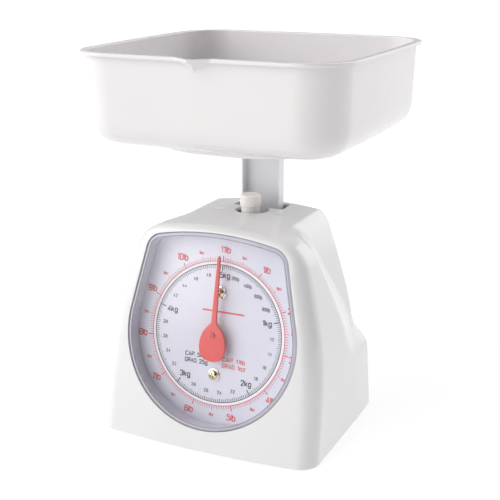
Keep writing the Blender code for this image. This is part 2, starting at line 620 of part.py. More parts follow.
def zero_adjuster():
    hanger = make(
        "spring_hanger", block((-13, KNOB_Y - 5, HANGER_Z[0]), (13, KNOB_Y + 5, HANGER_Z[1])), STEEL,
        roughness=0.4, metallic=1,
    )
    for x, r in ((-SPRING_X, 1.5), (SPRING_X, 1.5), (0, 2.4)):
        combine(hanger, "DIFFERENCE", turned(((r, 100), (r, 114)), 12, (x, KNOB_Y)))
    axis = empty("zero_axis", (0, KNOB_Y, 0))
    screw = turned(((1.6, 97), (2.0, 98), (2.0, 140.5)), 12)
    make("zero_screw", screw, STEEL, axis, roughness=0.3, metallic=1)
    sides = 2 * KNOB_RIBS
    collar, top = circle(KNOB_COLLAR_RADIUS, sides), circle(KNOB_TOP_RADIUS, sides)
    ribbed = [(x * s, y * s) for (x, y), s in zip(circle(KNOB_RADIUS, sides), [1.0, 0.94] * KNOB_RIBS)]
    levels = ((collar, KNOB_LOW), (collar, KNOB_HEAD_LOW), (ribbed, KNOB_HEAD_LOW))
    levels += ((ribbed, KNOB_TOP - 0.8), (top, KNOB_TOP))
    knob = make("zero_knob", loft([[(x, y, z) for x, y in ring] for ring, z in levels]), WHITE, axis)
    bore = turned(((KNOB_BORE_RADIUS, KNOB_LOW - 10), (KNOB_BORE_RADIUS, KNOB_BORE_TOP)), 12, (0, KNOB_Y))
    combine(knob, "DIFFERENCE", bore)
    washer = make("zero_washer", turned(((5.0, 118.3), (5.0, 119.3)), 16, (0, KNOB_Y)), STEEL, metallic=1)
    combine(washer, "DIFFERENCE", turned(((2.4, 117), (2.4, 121)), 12, (0, KNOB_Y)))


# ---------------------------------------------------------------- column, platform, bowl


def column():
    """A channel, open to the front, that carries the platform and hangs on the links and springs."""
    (front, back), (low, high), sheet = COLUMN_Y, COLUMN_Z, COLUMN_SHEET
    inner = COLUMN_HALF - sheet
    plan = ((-COLUMN_HALF, front), (-inner, front), (-inner, back - sheet), (inner, back - sheet))
    plan += ((inner, front), (COLUMN_HALF, front), (COLUMN_HALF, back), (-COLUMN_HALF, back))
    obj = make("column", prism(plan, low, high), LIGHT_GREY, roughness=0.4)
    for name, pivot_z in LINK_HEIGHTS.items():
        z = pivot_z + LINK_RISE
        radius = PIN_RADIUS + PIN_CLEARANCE
        combine(obj, "DIFFERENCE", rod_x(radius, 20, 12, (0, COLUMN_PIN_Y, z)))
        pin = rod_x(PIN_RADIUS, 22.6, 12, (0, 0, 0))
        make(f"column_pin_{name}", pin, STEEL, at=(0, COLUMN_PIN_Y, z), roughness=0.3, metallic=1)


def carriage_arm():
    """A plate from the column's foot under the springs and on to the foot of the rack."""
    (low, high), tab_y = ARM_Z, COLUMN_Y[1] - COLUMN_SHEET - GAP
    rear, front = KNOB_Y - 7, DIAL_CENTRE.y + 0.1
    plan = ((-12, tab_y), (-12, rear), (1.2, rear - 5), (1.2, front), (9.4, front), (9.4, rear - 5))
    plan += ((12, rear), (12, tab_y))
    obj = make("carriage_arm", prism(plan, low, high), STEEL, roughness=0.45, metallic=1)
    combine(obj, "UNION", block((-12, tab_y - 1.5, low + 0.5), (12, tab_y, 46)))
    for x in (-SPRING_X, SPRING_X):
        combine(obj, "DIFFERENCE", turned(((1.5, low - 2), (1.5, high + 2)), 12, (x, KNOB_Y)))


def platform():
    low, high = PLATFORM_Z
    middle = sum(COLUMN_Y) / 2
    head = make(
        "column_head",
        prism(rounded_rectangle(HEAD_HALF, HEAD_HALF_Y, 2.5, 3, (0, middle)), COLUMN_Z[1] + GAP, low - GAP),
        LIGHT_GREY,
        roughness=0.4,
    )
    outline = rounded_rectangle(PLATFORM_HALF, PLATFORM_HALF, PLATFORM_RADIUS, 5, (0, BOWL_CENTRE_Y))
    plate = make("platform_plate", prism(outline, low, high), WHITE)
    for side, x in (("left", -PLATFORM_SCREW_X), ("right", PLATFORM_SCREW_X)):
        place = (x, middle)
        combine(plate, "DIFFERENCE", turned(((3.4, high - 1.3), (3.4, high + 1)), 14, place))
        combine(plate, "DIFFERENCE", screw_hole(low - 1, high, place))
        combine(head, "DIFFERENCE", screw_hole(170, low + 1, place))
        screw = turned(((1.5, 180.2), (1.5, 189.0), (3.0, 189.0), (3.0, 189.5), (2.2, 189.9)), 12)
        make(f"platform_screw_{side}", screw, STEEL, at=(x, middle, 0), roughness=0.3, metallic=1)


def bowl_ring(inset, z):
    """One level of the bowl: a rounded rectangle with slightly bowed sides and a pouring lip in front."""
    lean = (BOWL_RIM - z) * BOWL_TAPER
    half = BOWL_HALF - lean - inset
    steps = 5
    corners = rounded_rectangle(half - BOWL_BULGE, half - BOWL_BULGE, BOWL_CORNER - inset, steps)
    ring = []
    for quarter, (out_x, out_y) in enumerate(((0, 1), (-1, 0), (0, -1), (1, 0))):
        first = quarter * (steps + 1)
        ring += corners[first : first + steps + 1]
        (x0, y0), (x1, y1) = corners[first + steps], corners[(first + steps + 1) % len(corners)]
        for t in (0.2, 0.392, 0.446, 0.5, 0.554, 0.608, 0.8) if quarter == 2 else (0.25, 0.5, 0.75):
            bow = BOWL_BULGE * 4 * t * (1 - t)
            ring.append((mix(x0, x1, t) + bow * out_x, mix(y0, y1, t) + bow * out_y))
    level = max(0.0, 1 - (BOWL_RIM - z) / LIP_DEPTH)
    points = []
    for x, y in ring:
        share = level - abs(x) / LIP_HALF_WIDTH if y < 0 else 0.0
        share = max(0.0, share)
        points.append((x, y + BOWL_CENTRE_Y - LIP_REACH * share, z - LIP_DROP * share))
    return points


def foot_levels(inset, bottom, radius):
    """(inset, height) pairs around the rounded edge between floor and wall, floor first."""
    angles = [math.radians(22.5 * i) for i in range(5)]
    return [(inset + radius * (1 - math.sin(a)), bottom + radius * (1 - math.cos(a))) for a in angles]


def bowl():
    """A square weighing bowl with a turned-out rim and a round foot edge."""
    outer = foot_levels(0.0, BOWL_BOTTOM, BOWL_FOOT_RADIUS)
    outer += [(0.0, BOWL_RIM - drop) for drop in (25, LIP_DEPTH, RIM_DEPTH)]
    rim = [(-RIM_REACH, BOWL_RIM - RIM_DEPTH), (-RIM_REACH, BOWL_RIM - 0.5), (0.5 - RIM_REACH, BOWL_RIM)]
    inner = foot_levels(BOWL_WALL, BOWL_BOTTOM + BOWL_WALL, BOWL_FOOT_RADIUS - BOWL_WALL)
    inner += [(BOWL_WALL, BOWL_RIM - drop) for drop in (25, LIP_DEPTH, 0)]
    make("bowl", loft([bowl_ring(inset, z) for inset, z in outer + rim + inner[::-1]]), WHITE)


# ---------------------------------------------------------------- assembly


def main():
    for obj in list(bpy.data.objects):
        bpy.data.objects.remove(obj)
    dial_axis = empty("dial_axis", DIAL_CENTRE, (math.pi / 2 - LEAN, 0, 0))
    housing(dial_axis)
    base_plate()
    feet_and_base_screws()
    dial_window(dial_axis)
    dial_plate(dial_axis)
    dial_fasteners(dial_axis)
    pointer(dial_axis)
    pinion(dial_axis)
    rack(dial_axis)
    movement(dial_axis)
    mechanism_frame(dial_axis)
    for name, pivot_z in LINK_HEIGHTS.items():
        link(f"{name}_link", pivot_z)
    spring("main_spring_left", -SPRING_X)
    spring("main_spring_right", SPRING_X)
    zero_adjuster()
    column()
    carriage_arm()
    platform()
    bowl()


main()
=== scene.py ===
"""Looks of the dial platform scale: finer pieces, dial print, materials, floor, light and camera.

Shapes are drawn in millimetres and turned into metres when a piece is made, in the frame of the
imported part. Dial pieces are drawn in the dial's own axes: u across, v up the lean, w towards the reader.
"""

import json
import math

import bmesh
import bpy
from mathutils import Matrix, Vector

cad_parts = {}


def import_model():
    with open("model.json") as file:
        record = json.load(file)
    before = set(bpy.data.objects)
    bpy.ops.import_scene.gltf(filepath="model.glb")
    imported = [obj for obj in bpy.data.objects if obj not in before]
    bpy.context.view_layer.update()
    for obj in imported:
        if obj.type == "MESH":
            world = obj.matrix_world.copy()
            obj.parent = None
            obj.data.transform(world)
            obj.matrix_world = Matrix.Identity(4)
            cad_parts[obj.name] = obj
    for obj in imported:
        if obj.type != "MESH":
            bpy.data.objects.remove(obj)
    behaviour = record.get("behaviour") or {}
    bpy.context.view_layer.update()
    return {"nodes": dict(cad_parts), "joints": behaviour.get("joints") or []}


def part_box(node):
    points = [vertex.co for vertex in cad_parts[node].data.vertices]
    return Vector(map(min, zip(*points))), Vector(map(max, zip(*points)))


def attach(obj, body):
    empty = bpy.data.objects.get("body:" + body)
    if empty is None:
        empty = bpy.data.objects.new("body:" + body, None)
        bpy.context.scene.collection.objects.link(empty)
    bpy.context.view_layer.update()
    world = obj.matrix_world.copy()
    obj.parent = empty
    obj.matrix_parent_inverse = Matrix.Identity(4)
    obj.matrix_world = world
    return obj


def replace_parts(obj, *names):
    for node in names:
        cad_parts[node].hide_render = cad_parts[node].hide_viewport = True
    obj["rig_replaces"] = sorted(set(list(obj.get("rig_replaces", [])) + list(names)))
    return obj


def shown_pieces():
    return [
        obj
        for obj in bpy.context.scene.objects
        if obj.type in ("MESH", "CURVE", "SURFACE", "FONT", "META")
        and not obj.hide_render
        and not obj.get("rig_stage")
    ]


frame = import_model()

MM = 0.001
JOINTS = {joint["name"]: joint for joint in frame["joints"]}
DIAL_CENTRE = Vector(JOINTS["pointer_spin"]["pos_m"]) / MM
DIAL_AXIS = Vector(JOINTS["pointer_spin"]["axis"])
LEAN = math.atan2(abs(DIAL_AXIS.z), abs(DIAL_AXIS.y))
KNOB_PLACE = Vector(JOINTS["zero_knob_turn"]["pos_m"]) / MM


def low_high(node):
    """Lowest and highest corner of a CAD node, in millimetres."""
    low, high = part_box(node)
    return low / MM, high / MM


# ---- sizes, in millimetres

# Housing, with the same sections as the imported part
HOUSING_LOW, HOUSING_HIGH = low_high("housing")
HOUSING_BOTTOM, CROWN_Z = HOUSING_LOW.z, HOUSING_HIGH.z
FRONT_Y, REAR_Y_BASE = HOUSING_LOW.y, HOUSING_HIGH.y
REAR_Y_TOP = REAR_Y_BASE - 7.1
CROWN_RADIUS = 250.0
WALL = 2.2
FRONT_BULGE, BULGE_HALF_WIDTH = 5.0, 75.0
# Half widths of the front and rear sections at rising heights: (height, half width)
FRONT_HALF = ((1.2, 76.0), (30, 75.4), (52, 74.2), (73, 71.8), (101, 65.5), (121, 60.0))
REAR_HALF = ((1.2, 74.0), (30, 73.6), (46, 72.9), (52, 69.6))
REAR_HALF += ((60, 62.8), (76, 60.0), (112, 50.3), (128, 44.5))
COMMON_Z = 108.0  # up to here the front and rear sections keep the same heights
NARROW_Z, NARROW_RISE = 55.0, 80.0  # heights between which the narrowing's start and end change
NARROW_START, NARROW_END = (-18.0, -45.0), (27.0, -21.0)  # y at the lower and the upper height
REAR_SOFT_Z, REAR_SOFT_RISE, REAR_SOFT_SHARE = 112.0, 16.0, 0.4  # the rear edge is sharper higher up
FRONT_CORNER = ((60.0, 121.0), (54.6, 134.3), 42.0)  # end of side, corner point, start of crown
REAR_CORNER = ((44.5, 128.0), (41.3, 135.0), 37.5)
EDGE_RADIUS_SIDE, EDGE_RADIUS_TOP = 11.0, 6.0
REAR_RADIUS = 6.0
BOSS_PLACES = ((-65.5, -50), (65.5, -50), (-65.5, 2), (65.5, 2))
BOSS_RADIUS, BOSS_Z = 4.2, (4.8, 20.0)
BOSS_HOLE_RADIUS, BOSS_HOLE_Z = 1.8, (4.0, 17.5)
RIB_HALF, RIB_Z, HALF_AT_BOSS = 1.2, (5.2, 18.6), 74.6

# Openings in the crown
COLUMN_LOW, COLUMN_HIGH = low_high("column")
SLOT_HALF = COLUMN_HIGH.x + 4.1
SLOT_Y = (COLUMN_LOW.y - 4.8, COLUMN_HIGH.y + 2.4)
KNOB_HOLE_CENTRE, KNOB_HOLE_RADIUS = (KNOB_PLACE.x + 0.6, KNOB_PLACE.y + 1.2), 10.9
MARK_X, MARK_Y, MARK_HALF, MARK_HALF_Y = 20.5, KNOB_PLACE.y - 2.5, 4.2, 1.3  # dimples beside the knob
MARK_SECTION = ((0.6, -2.0), (0.5, -0.05), (0.0, 0.1), (-0.5, 0.32), (-1.0, 0.45))  # (offset, depth)
SLOT_CORNER, CROWN_CUT = 2.0, 9.0
EDGE_ROUNDING, CROWN_ROUNDING = 0.4, 0.7
CUTTER_TOP = 3.0  # how far a cutter stands out of the surface

# Window and dial
WINDOW_RADIUS, WINDOW_CENTRE_V = 59.3, -1.1
WINDOW_SLANT = 12.1
WINDOW_CORNER_RADIUS = 12.0
WINDOW_TOP_V, WINDOW_TOP_RADIUS = 65.2, 190.0
FRONT_W = 14.4
COVER_GAP, COVER_WALL, COVER_SINK = 0.15, 1.5, 0.5
BORDER_WIDTH, BORDER_DEPTH = 2.1, 1.5  # the cover's milky rounded border
GROOVE_WIDTH, GROOVE_DEPTH = 0.65, 0.3
COVER_BACK_W = 0.3
FLANGE_REACH, FLANGE_W = 1.5, (6.6, 8.0)

# Dial print
FULL_KG, FULL_LB = 5, 5 * 2.20462
BLACK_RING, RED_RING = 44.45, 46.57
DIVISIONS = 200  # of 25 g each
KG_PLACES = ((2.0, 38.0), (33.7, 11.8), (22.8, -28.6), (-20.7, -29.3), (-33.3, 11.4))
PRINT_W, PRINT_DEPTH, LAYER_STEP = 0.12, 0.06, 0.006
KG_TEXT, GRAM_TEXT = (3.25, 0.6, 0.95), (1.9, 0.3, 0.85)  # a digit's height, a stroke's width, squeeze
LB_TEXT, OUNCE_TEXT, LINE_TEXT = (3.7, 0.66, 0.9), (1.7, 0.3, 0.8), (2.5, 0.46)
GRAM_RADIUS, LB_RADIUS, OUNCE_RADIUS = 38.0, 54.3, 52.7  # where the texts along the rings stand
LB_TURN = 1.3  # in degrees past its mark
KG_TICK, LONG_TICK, SHORT_TICK = 40.35, 41.7, 42.3  # inner ends of the black ticks
LB_TICK, HALF_TICK, OUNCE_TICK = 50.24, 49.7, 48.9  # outer ends of the red ticks
LEFT_U, RIGHT_U, CAPACITY_V, GRADUATION_V = -21.4, 5.2, -15.7, -19.8
BLACK_LINES = (("CAP. 5kg", (LEFT_U, CAPACITY_V), 15.0), ("GRAD. 25g", (LEFT_U, GRADUATION_V), 16.4))
RED_LINES = (("CAP. 11lb", (RIGHT_U, CAPACITY_V), 16.0), ("GRAD. 1oz", (RIGHT_U, GRADUATION_V), 16.6))
PLAIN_LINE = ((-11.7, 13.9), (17.6, 14.9))  # corners of the red line above the middle
RING_WIDTH, RING_SIDES = 0.42, 180
THICK_TICK, THIN_TICK = 0.62, 0.3
PLATE_SECTION = ((0.8, -1.0), (1.0, -0.8), (1.0, -0.2), (0.8, 0.0))  # (offset, w) of the plate's edge
SCREW_HOLE, SHAFT_HOLE = 1.9, 2.6
SCREW_HEAD, SCREW_HEAD_W, SCREW_SHANK, SCREW_LOW = 3.3, (1.1, 3.0), 1.5, -6.8
RECESS_SIZE, RECESS_SHARE, RECESS_DEPTH, RECESS_TURN = 1.7, 0.27, 1.1, 20
WASHER_SECTION = ((1.9, 0.3), (1.9, 0.8), (3.8, 0.8), (4.05, 0.65), (4.1, 0.3))  # (radius, w)

# Pointer
POINTER_TIP_V, STEM_V, POINTER_W = 50.5, 8.1, (5.0, 7.0)
NEEDLE_HALF = (1.8, 0.95)  # where it leaves the counterweight, and near the tip
PADDLE_HALF, PADDLE_V, PADDLE_LOW = 9.15, -7.5, -17.2
PADDLE_POWER = 0.88  # under 1 squares the counterweight's round off a little
SHOULDER = ((PADDLE_HALF, PADDLE_V), (PADDLE_HALF - 0.1, 2.6), (3.3, 5.2), (NEEDLE_HALF[0], STEM_V))
NEEDLE_END, TIP_HALF, TIP_DROP = 1.6, 0.6, 0.7  # the needle's point
POINTER_SOFT, RIVET_HOLE = 0.45, 1.5
RIVET_CAP = ((1.7, 7.3), (1.7, 7.5), (1.55, 7.7), (1.1, 7.95), (0.7, 8.0), (0.5, 7.8), (0.15, 7.75))

# Zero knob
KNOB_RIBS, KNOB_SIDES, RIB_DEPTH = 30, 240, 0.32
COLLAR_RADIUS, HEAD_RADIUS, HEAD_RISE, KNOB_BORE = 6.2, 7.0, 11.7, 2.3
HEAD_UNDER = ((0.35, 0, 0), (0.05, 0.35, 0.3), (0, 0.9, 1))  # (inset, rise, share of a rib's depth)
HEAD_OVER = ((0, 1.5, 1), (0.15, 0.9, 0.6), (0.5, 0.35, 0.15))  # (inset, drop, share)
HEAD_OVER += ((1.1, 0.05, 0), (1.9, 0, 0), (3.2, 0.15, 0), (6.7, 0.25, 0))

# Platform and bowl
PLATFORM_RADIUS = 44.0
PLATFORM_UNDER = ((5.0, 0.0), (2.2, 0.25), (0.9, 0.9), (0.2, 1.9), (0.0, 3.0))  # (inset, height from below)
PLATFORM_OVER = ((0.0, 1.2), (0.25, 0.5), (0.9, 0.1), (1.8, 0.0))  # (inset, depth from above)
SCREW_SINK_RADIUS, SCREW_SINK, SCREW_CLEARANCE = 3.4, 1.3, 1.8
BOWL_LOW, BOWL_HIGH = low_high("bowl")
BOWL_BOTTOM, BOWL_RIM = BOWL_LOW.z, BOWL_HIGH.z
BOWL_CENTRE_Y = BOWL_HIGH.y - BOWL_HIGH.x
RIM_REACH, RIM_DEPTH, RIM_ROUNDING = 3.2, 2.3, 1.1
BOWL_HALF = BOWL_HIGH.x - RIM_REACH
BOWL_CORNER, BOWL_FOOT_RADIUS = 28.0, 16.0
BOWL_TAPER = math.tan(math.radians(1.7))
BOWL_WALL, BOWL_BULGE = 2.0, 1.2
WALL_DROPS = (32, 24, 16, 11)  # levels of the plain wall, from the rim down
LIP_HALF_WIDTH, LIP_REACH, LIP_DEPTH, LIP_DROP = 13.0, 6.4, 8.4, 0.5
LIP_STEPS = 11  # the lip's columns and levels, so that its slanted folds run through their crossings
LIP_COLUMNS = [LIP_HALF_WIDTH * i / LIP_STEPS for i in range(-LIP_STEPS - 2, LIP_STEPS + 3)]
LIP_LEVELS = [LIP_DEPTH * (1 - i / LIP_STEPS) for i in range(8)]


# ---- mesh tools


def mix(a, b, t):
    return a + (b - a) * t


def ease(t):
    t = min(max(t, 0.0), 1.0)
    return t * t * (3 - 2 * t)


def flow(points, at):
    """A smooth curve through (position, value) points that never overshoots them."""
    xs, ys = zip(*points)
    at = min(max(at, xs[0]), xs[-1])
    rises = [(ys[i + 1] - ys[i]) / (xs[i + 1] - xs[i]) for i in range(len(xs) - 1)]
    i = next(k for k in range(len(rises)) if at <= xs[k + 1])

    def slope(k):
        before, after = rises[max(k - 1, 0)], rises[min(k, len(rises) - 1)]
        if before * after <= 0:
            return 0.0
        return 2 * before * after / (before + after)

    width = xs[i + 1] - xs[i]
    t = (at - xs[i]) / width
    return (
        ys[i] * (1 + 2 * t) * (1 - t) ** 2
        + slope(i) * width * t * (1 - t) ** 2
        + ys[i + 1] * t * t * (3 - 2 * t)
        + slope(i + 1) * width * t * t * (t - 1)
    )


def steps(count):
    """Shares from 0 to 1 in count equal steps."""
    return [i / count for i in range(count + 1)]


def quarter_turn(count):
    """(sine, cosine) at equal steps from 0 to 90 degrees."""
    angles = [math.pi / 2 * t for t in steps(count)]
    return [(math.sin(a), math.cos(a)) for a in angles]


def at_height(outline, z):
    return [(x, y, z) for x, y in outline]


def loft(rings, closed_ends=True):
    """A solid through rings of equal length, with a flat face on each end ring."""
    bm = bmesh.new()
    rows = [[bm.verts.new(point) for point in ring] for ring in rings]
    count = len(rows[0])
    for low, high in zip(rows, rows[1:]):
        for i in range(count):
            bm.faces.new((low[i], low[(i + 1) % count], high[(i + 1) % count], high[i]))
    if closed_ends:
        bm.faces.new(rows[0])
        bm.faces.new(rows[-1])
    return bm


def prism(outline, low, high):
    return loft([at_height(outline, low), at_height(outline, high)])


def block(low, high):
    (x0, y0, z0), (x1, y1, z1) = low, high
    return prism(((x0, y0), (x1, y0), (x1, y1), (x0, y1)), z0, z1)


def circle(radius, sides, centre=(0, 0)):
    angles = [2 * math.pi * i / sides for i in range(sides)]
    return [(centre[0] + radius * math.cos(a), centre[1] + radius * math.sin(a)) for a in angles]


def turned(profile, sides, centre=(0, 0)):
    """A solid turned about the vertical through centre: profile lists (radius, height)."""
    return loft([at_height(circle(radius, sides, centre), z) for radius, z in profile])


def rounded_rectangle(half_x, half_y, radius, corner_steps, centre=(0, 0)):
    outline = []
    for quarter, (sx, sy) in enumerate(((1, 1), (-1, 1), (-1, -1), (1, -1))):
        for t in steps(corner_steps):
            angle = math.pi / 2 * (quarter + t)
            x = centre[0] + sx * (half_x - radius) + radius * math.cos(angle)
            outline.append((x, centre[1] + sy * (half_y - radius) + radius * math.sin(angle)))
    return outline


def arc(centre, radius, start, end, count):
    """Points along an arc, with angles in degrees, ends included."""
    angles = [math.radians(mix(start, end, t)) for t in steps(count)]
    return [(centre[0] + radius * math.cos(a), centre[1] + radius * math.sin(a)) for a in angles]


def full_outline(half):
    """A closed outline from its right half, whose first and last points lie on the middle line."""
    return [*half, *[(-u, v) for u, v in half[-2:0:-1]]]


def hoop(section, sides, centre=(0, 0)):
    """A closed ring turned about the vertical through centre: section lists (radius, height)."""
    rings = [at_height(circle(radius, sides, centre), z) for radius, z in section]
    bm = loft([*rings, rings[0]], closed_ends=False)
    bmesh.ops.remove_doubles(bm, verts=bm.verts, dist=1e-5)
    return bm


def linked(name, bm):
    """A new object in the scene from a bmesh."""
    mesh = bpy.data.meshes.new(name)
    bm.to_mesh(mesh)
    bm.free()
    obj = bpy.data.objects.new(name, mesh)
    bpy.context.scene.collection.objects.link(obj)
    return obj


def temporary(bm, matrix=None):
    """A throwaway object from a bmesh, for Booleans."""
    bmesh.ops.recalc_face_normals(bm, faces=bm.faces)
    obj = linked("temporary", bm)
    if matrix is not None:
        obj.data.transform(matrix)
    return obj


def carved(bm, tools):
    """The bmesh after exact Booleans with each (operation, bmesh, matrix or None), as a new bmesh."""
    base = temporary(bm)
    helpers = []
    for operation, tool, matrix in tools:
        helper = temporary(tool, matrix)
        modifier = base.modifiers.new(operation, "BOOLEAN")
        modifier.operation, modifier.object, modifier.solver = operation, helper, "EXACT"
        helpers.append(helper)
    bpy.context.view_layer.update()
    result = bmesh.new()
    result.from_object(base, bpy.context.evaluated_depsgraph_get())
    for helper in [base, *helpers]:
        bpy.data.meshes.remove(helper.data)
    return result


def cut(tool, matrix=None):
    return "DIFFERENCE", tool, matrix


def drill(radius, low, high, sides, centre=(0, 0)):
    return cut(turned(((radius, low), (radius, high)), sides, centre))


def piece(name, bm, body, material, replaces=(), matrix=None, sharp=30):
    """A finished piece from a bmesh in millimetres. sharp is the angle from which an edge shows."""
    if matrix is not None:
        bmesh.ops.transform(bm, matrix=matrix, verts=bm.verts)
    bmesh.ops.recalc_face_normals(bm, faces=bm.faces)
    bmesh.ops.scale(bm, vec=(MM, MM, MM), verts=bm.verts)
    obj = linked(name, bm)
    obj.data.shade_smooth()
    obj.data.set_sharp_from_angle(angle=math.radians(sharp))
    for one in material if isinstance(material, tuple) else [material]:
        obj.data.materials.append(one)
    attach(obj, body)
    if replaces:
        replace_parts(obj, *replaces)
    return obj


DIAL_MATRIX = Matrix.Translation(DIAL_CENTRE) @ Matrix.Rotation(math.pi / 2 - LEAN, 4, "X")


# ---- materials

FINE_GRAIN = ((1400, 3), 0.3, 0.00001)  # a bump: its noise, strength and distance in metres
NOISE_RANGE = (0.3, 0.7)  # the part of a noise's range that its colours and roughness span
PAINTED_LIGHT_WAY, PAINTED_LIGHT_RANGE = (-0.75, 0.0, 0.66), (0.055, 0.115)  # the way towards the dial's upper left, where painted light lifts the shade of the window's wall, in metres


class Nodes:
    """A node tree, with short calls for the nodes used here. coordinate names its texture coordinate."""

    def __init__(self, tree, coordinate):
        self.tree = tree
        self.place = self.node("ShaderNodeTexCoord").outputs[coordinate]

    def node(self, kind, inputs=None, **settings):
        """A new node, whose inputs are given as values or as other nodes' outputs."""
        made = self.tree.nodes.new(kind)
        for key, value in settings.items():
            setattr(made, key, value)
        for key, value in (inputs or {}).items():
            if isinstance(value, bpy.types.NodeSocket):
                self.link(value, made.inputs[key])
            else:
                made.inputs[key].default_value = value
        return made

    def link(self, source, target):
        self.tree.links.new(source, target)

    def math(self, operation, first, second):
        return self.node("ShaderNodeMath", {0: first, 1: second}, operation=operation).outputs["Value"]

    def along(self, direction):
        """The place's distance along a direction."""
        inputs = {0: self.place, 1: direction}
        return self.node("ShaderNodeVectorMath", inputs, operation="DOT_PRODUCT").outputs["Value"]

    def spread(self, source, low, high, start, end, kind="LINEAR"):
        """Maps a number from the range start..end to low..high."""
        inputs = {"Value": source, "From Min": start, "From Max": end, "To Min": low, "To Max": high}
        return self.node("ShaderNodeMapRange", inputs, interpolation_type=kind).outputs["Result"]


class Shader(Nodes):
    """A material's nodes around its main shader."""

    def __init__(self, name):
        self.material = bpy.data.materials.new(name)
        self.material.use_nodes = True
        super().__init__(self.material.node_tree, "Object")
        self.main = self.tree.nodes["Principled BSDF"]
        self.surface = self.tree.nodes["Material Output"].inputs["Surface"]

    def noise(self, scale, detail=3.0, roughness=0.5, stretch=None):
        place = self.place
        if stretch:
            place = self.node("ShaderNodeMapping", {"Vector": place, "Scale": stretch}).outputs["Vector"]
        inputs = {"Vector": place, "Scale": scale, "Detail": detail, "Roughness": roughness}
        return self.node("ShaderNodeTexNoise", inputs).outputs["Fac"]

    def tint(self, source, low, high):
        """Colours from low to high over the middle of a noise's range."""
        made = self.node("ShaderNodeValToRGB", {"Fac": source})
        for stop, position, colour in zip(made.color_ramp.elements, NOISE_RANGE, (low, high)):
            stop.position, stop.color = position, (*colour, 1)
        return made.outputs["Color"]

    def colour(self, source, low, high):
        self.link(self.tint(source, low, high), self.main.inputs["Base Color"])

    def rough(self, source, low, high):
        self.link(self.spread(source, low, high, *NOISE_RANGE), self.main.inputs["Roughness"])

    def bump(self, *layers):
        """Bump from (height source, strength, distance in metres) layers, the last one on top."""
        normal = {}
        for source, strength, distance in layers:
            inputs = {"Height": source, "Strength": strength, "Distance": distance, **normal}
            normal = {"Normal": self.node("ShaderNodeBump", inputs).outputs["Normal"]}
        self.link(normal["Normal"], self.main.inputs["Normal"])

    def set(self, **values):
        for key, value in values.items():
            self.main.inputs[key.replace("_", " ")].default_value = value


def noisy(name, tone, low, high, wear, rough, *bumps, **values):
    """A material whose colour, roughness and bumps follow noises of the given (scale, detail)."""
    s = Shader(name)
    s.colour(s.noise(*tone), low, high)
    s.rough(s.noise(*wear), *rough)
    s.bump(*[(s.noise(*noise), strength, distance) for noise, strength, distance in bumps])
    s.set(**values)
    return s.material


def plastic(name, low, high, roughness, waviness=0.00012, coat=0.0):
    """Moulded plastic: faint colour drift, a slightly wavy moulded skin and a fine grain."""
    rough, skin = (roughness * 0.85, roughness * 1.2), ((28, 2), 0.25, waviness)
    values = {"Coat_Weight": coat, "Coat_Roughness": 0.08, "IOR": 1.5}
    return noisy(name, (14, 4), low, high, (90, 5), rough, skin, FINE_GRAIN, **values)


def metal(name, low, high, roughness, brushed=(1, 1, 1)):
    """Plated or brushed metal; its streaks run along the axis on which brushed is smallest."""
    s = Shader(name)
    streaks = s.noise(300, 4, 0.6, brushed)
    s.colour(s.noise(60, 4), low, high)
    s.rough(streaks, roughness * 0.75, roughness * 1.3)
    s.bump((streaks, 0.3, 0.00003), (s.noise(40, 2), 0.2, 0.0001))
    s.set(Metallic=1.0)
    return s.material


def clear(name, scale, low, high):
    """A material that lets everything through, and what its surface shows."""
    s = Shader(name)
    s.tree.nodes.remove(s.main)
    see = s.node("ShaderNodeBsdfTransparent", {"Color": s.tint(s.noise(scale, 2), low, high)})
    s.link(see.outputs["BSDF"], s.surface)
    return s, see.outputs["BSDF"]


def clear_front():
    """The cover's clear face: it shows what is behind it, with reflections at its surface."""
    s, see = clear("clear_front", 20, (0.985, 0.985, 0.995), (0.995, 0.995, 1.0))
    s.main = s.node("ShaderNodeBsdfGlossy")
    s.set(Roughness=0.06)
    s.bump((s.noise(22, 2), 0.2, 0.0002))
    facing = s.node("ShaderNodeLayerWeight").outputs["Facing"]  # alike from both sides, unlike Fresnel
    gloss = s.spread(s.math("POWER", facing, 5.0), 0.035, 1.0, 0.0, 1.0)
    blend = s.node("ShaderNodeMixShader", {0: gloss, 1: see, 2: s.main.outputs["BSDF"]})
    s.link(blend.outputs["Shader"], s.surface)
    return s.material


def clear_edge(name, low, high):
    """The cover's thick border, seen through its own depth: a milky lavender grey; its darker copies for
    the border and the groove also hold painted shade.
    """
    tone, skin = (35, 3, 0.5, (1, 1, 0.2)), ((60, 2), 0.3, 0.0001)
    return noisy(name, tone, low, high, (120, 3), (0.14, 0.25), skin, Alpha=0.88, IOR=1.49)


def dial_sheet():
    """The printed dial sheet: lavender with a faint paper-like grain, and painted light towards its upper
    left that lifts the shade cast there by the window's wall.
    """
    s = Shader("dial_lavender")
    blend = s.node("ShaderNodeMix", data_type="RGBA")
    # painted light: the sheet turns paler towards its upper left, where the window's wall shades it
    s.link(s.spread(s.along(PAINTED_LIGHT_WAY), 0.0, 1.0, *PAINTED_LIGHT_RANGE), blend.inputs["Factor"])
    s.link(s.tint(s.noise(14, 4), (0.66, 0.655, 0.735), (0.69, 0.685, 0.765)), blend.inputs["A"])
    s.link(s.tint(s.noise(17, 4), (0.87, 0.865, 0.935), (0.90, 0.895, 0.965)), blend.inputs["B"])
    s.link(blend.outputs["Result"], s.main.inputs["Base Color"])
    s.rough(s.noise(90, 5), 0.36, 0.5)
    s.bump((s.noise(28, 2), 0.25, 0.00003), (s.noise(*FINE_GRAIN[0]), *FINE_GRAIN[1:]))
    s.set(IOR=1.5)
    return s.material


def ink(name, colour, darker):
    """Screen-printed ink, slightly uneven in tone."""
    return noisy(name, (900, 4), darker, colour, (400, 3), (0.35, 0.5), ((2500, 3), 0.25, 0.00001))


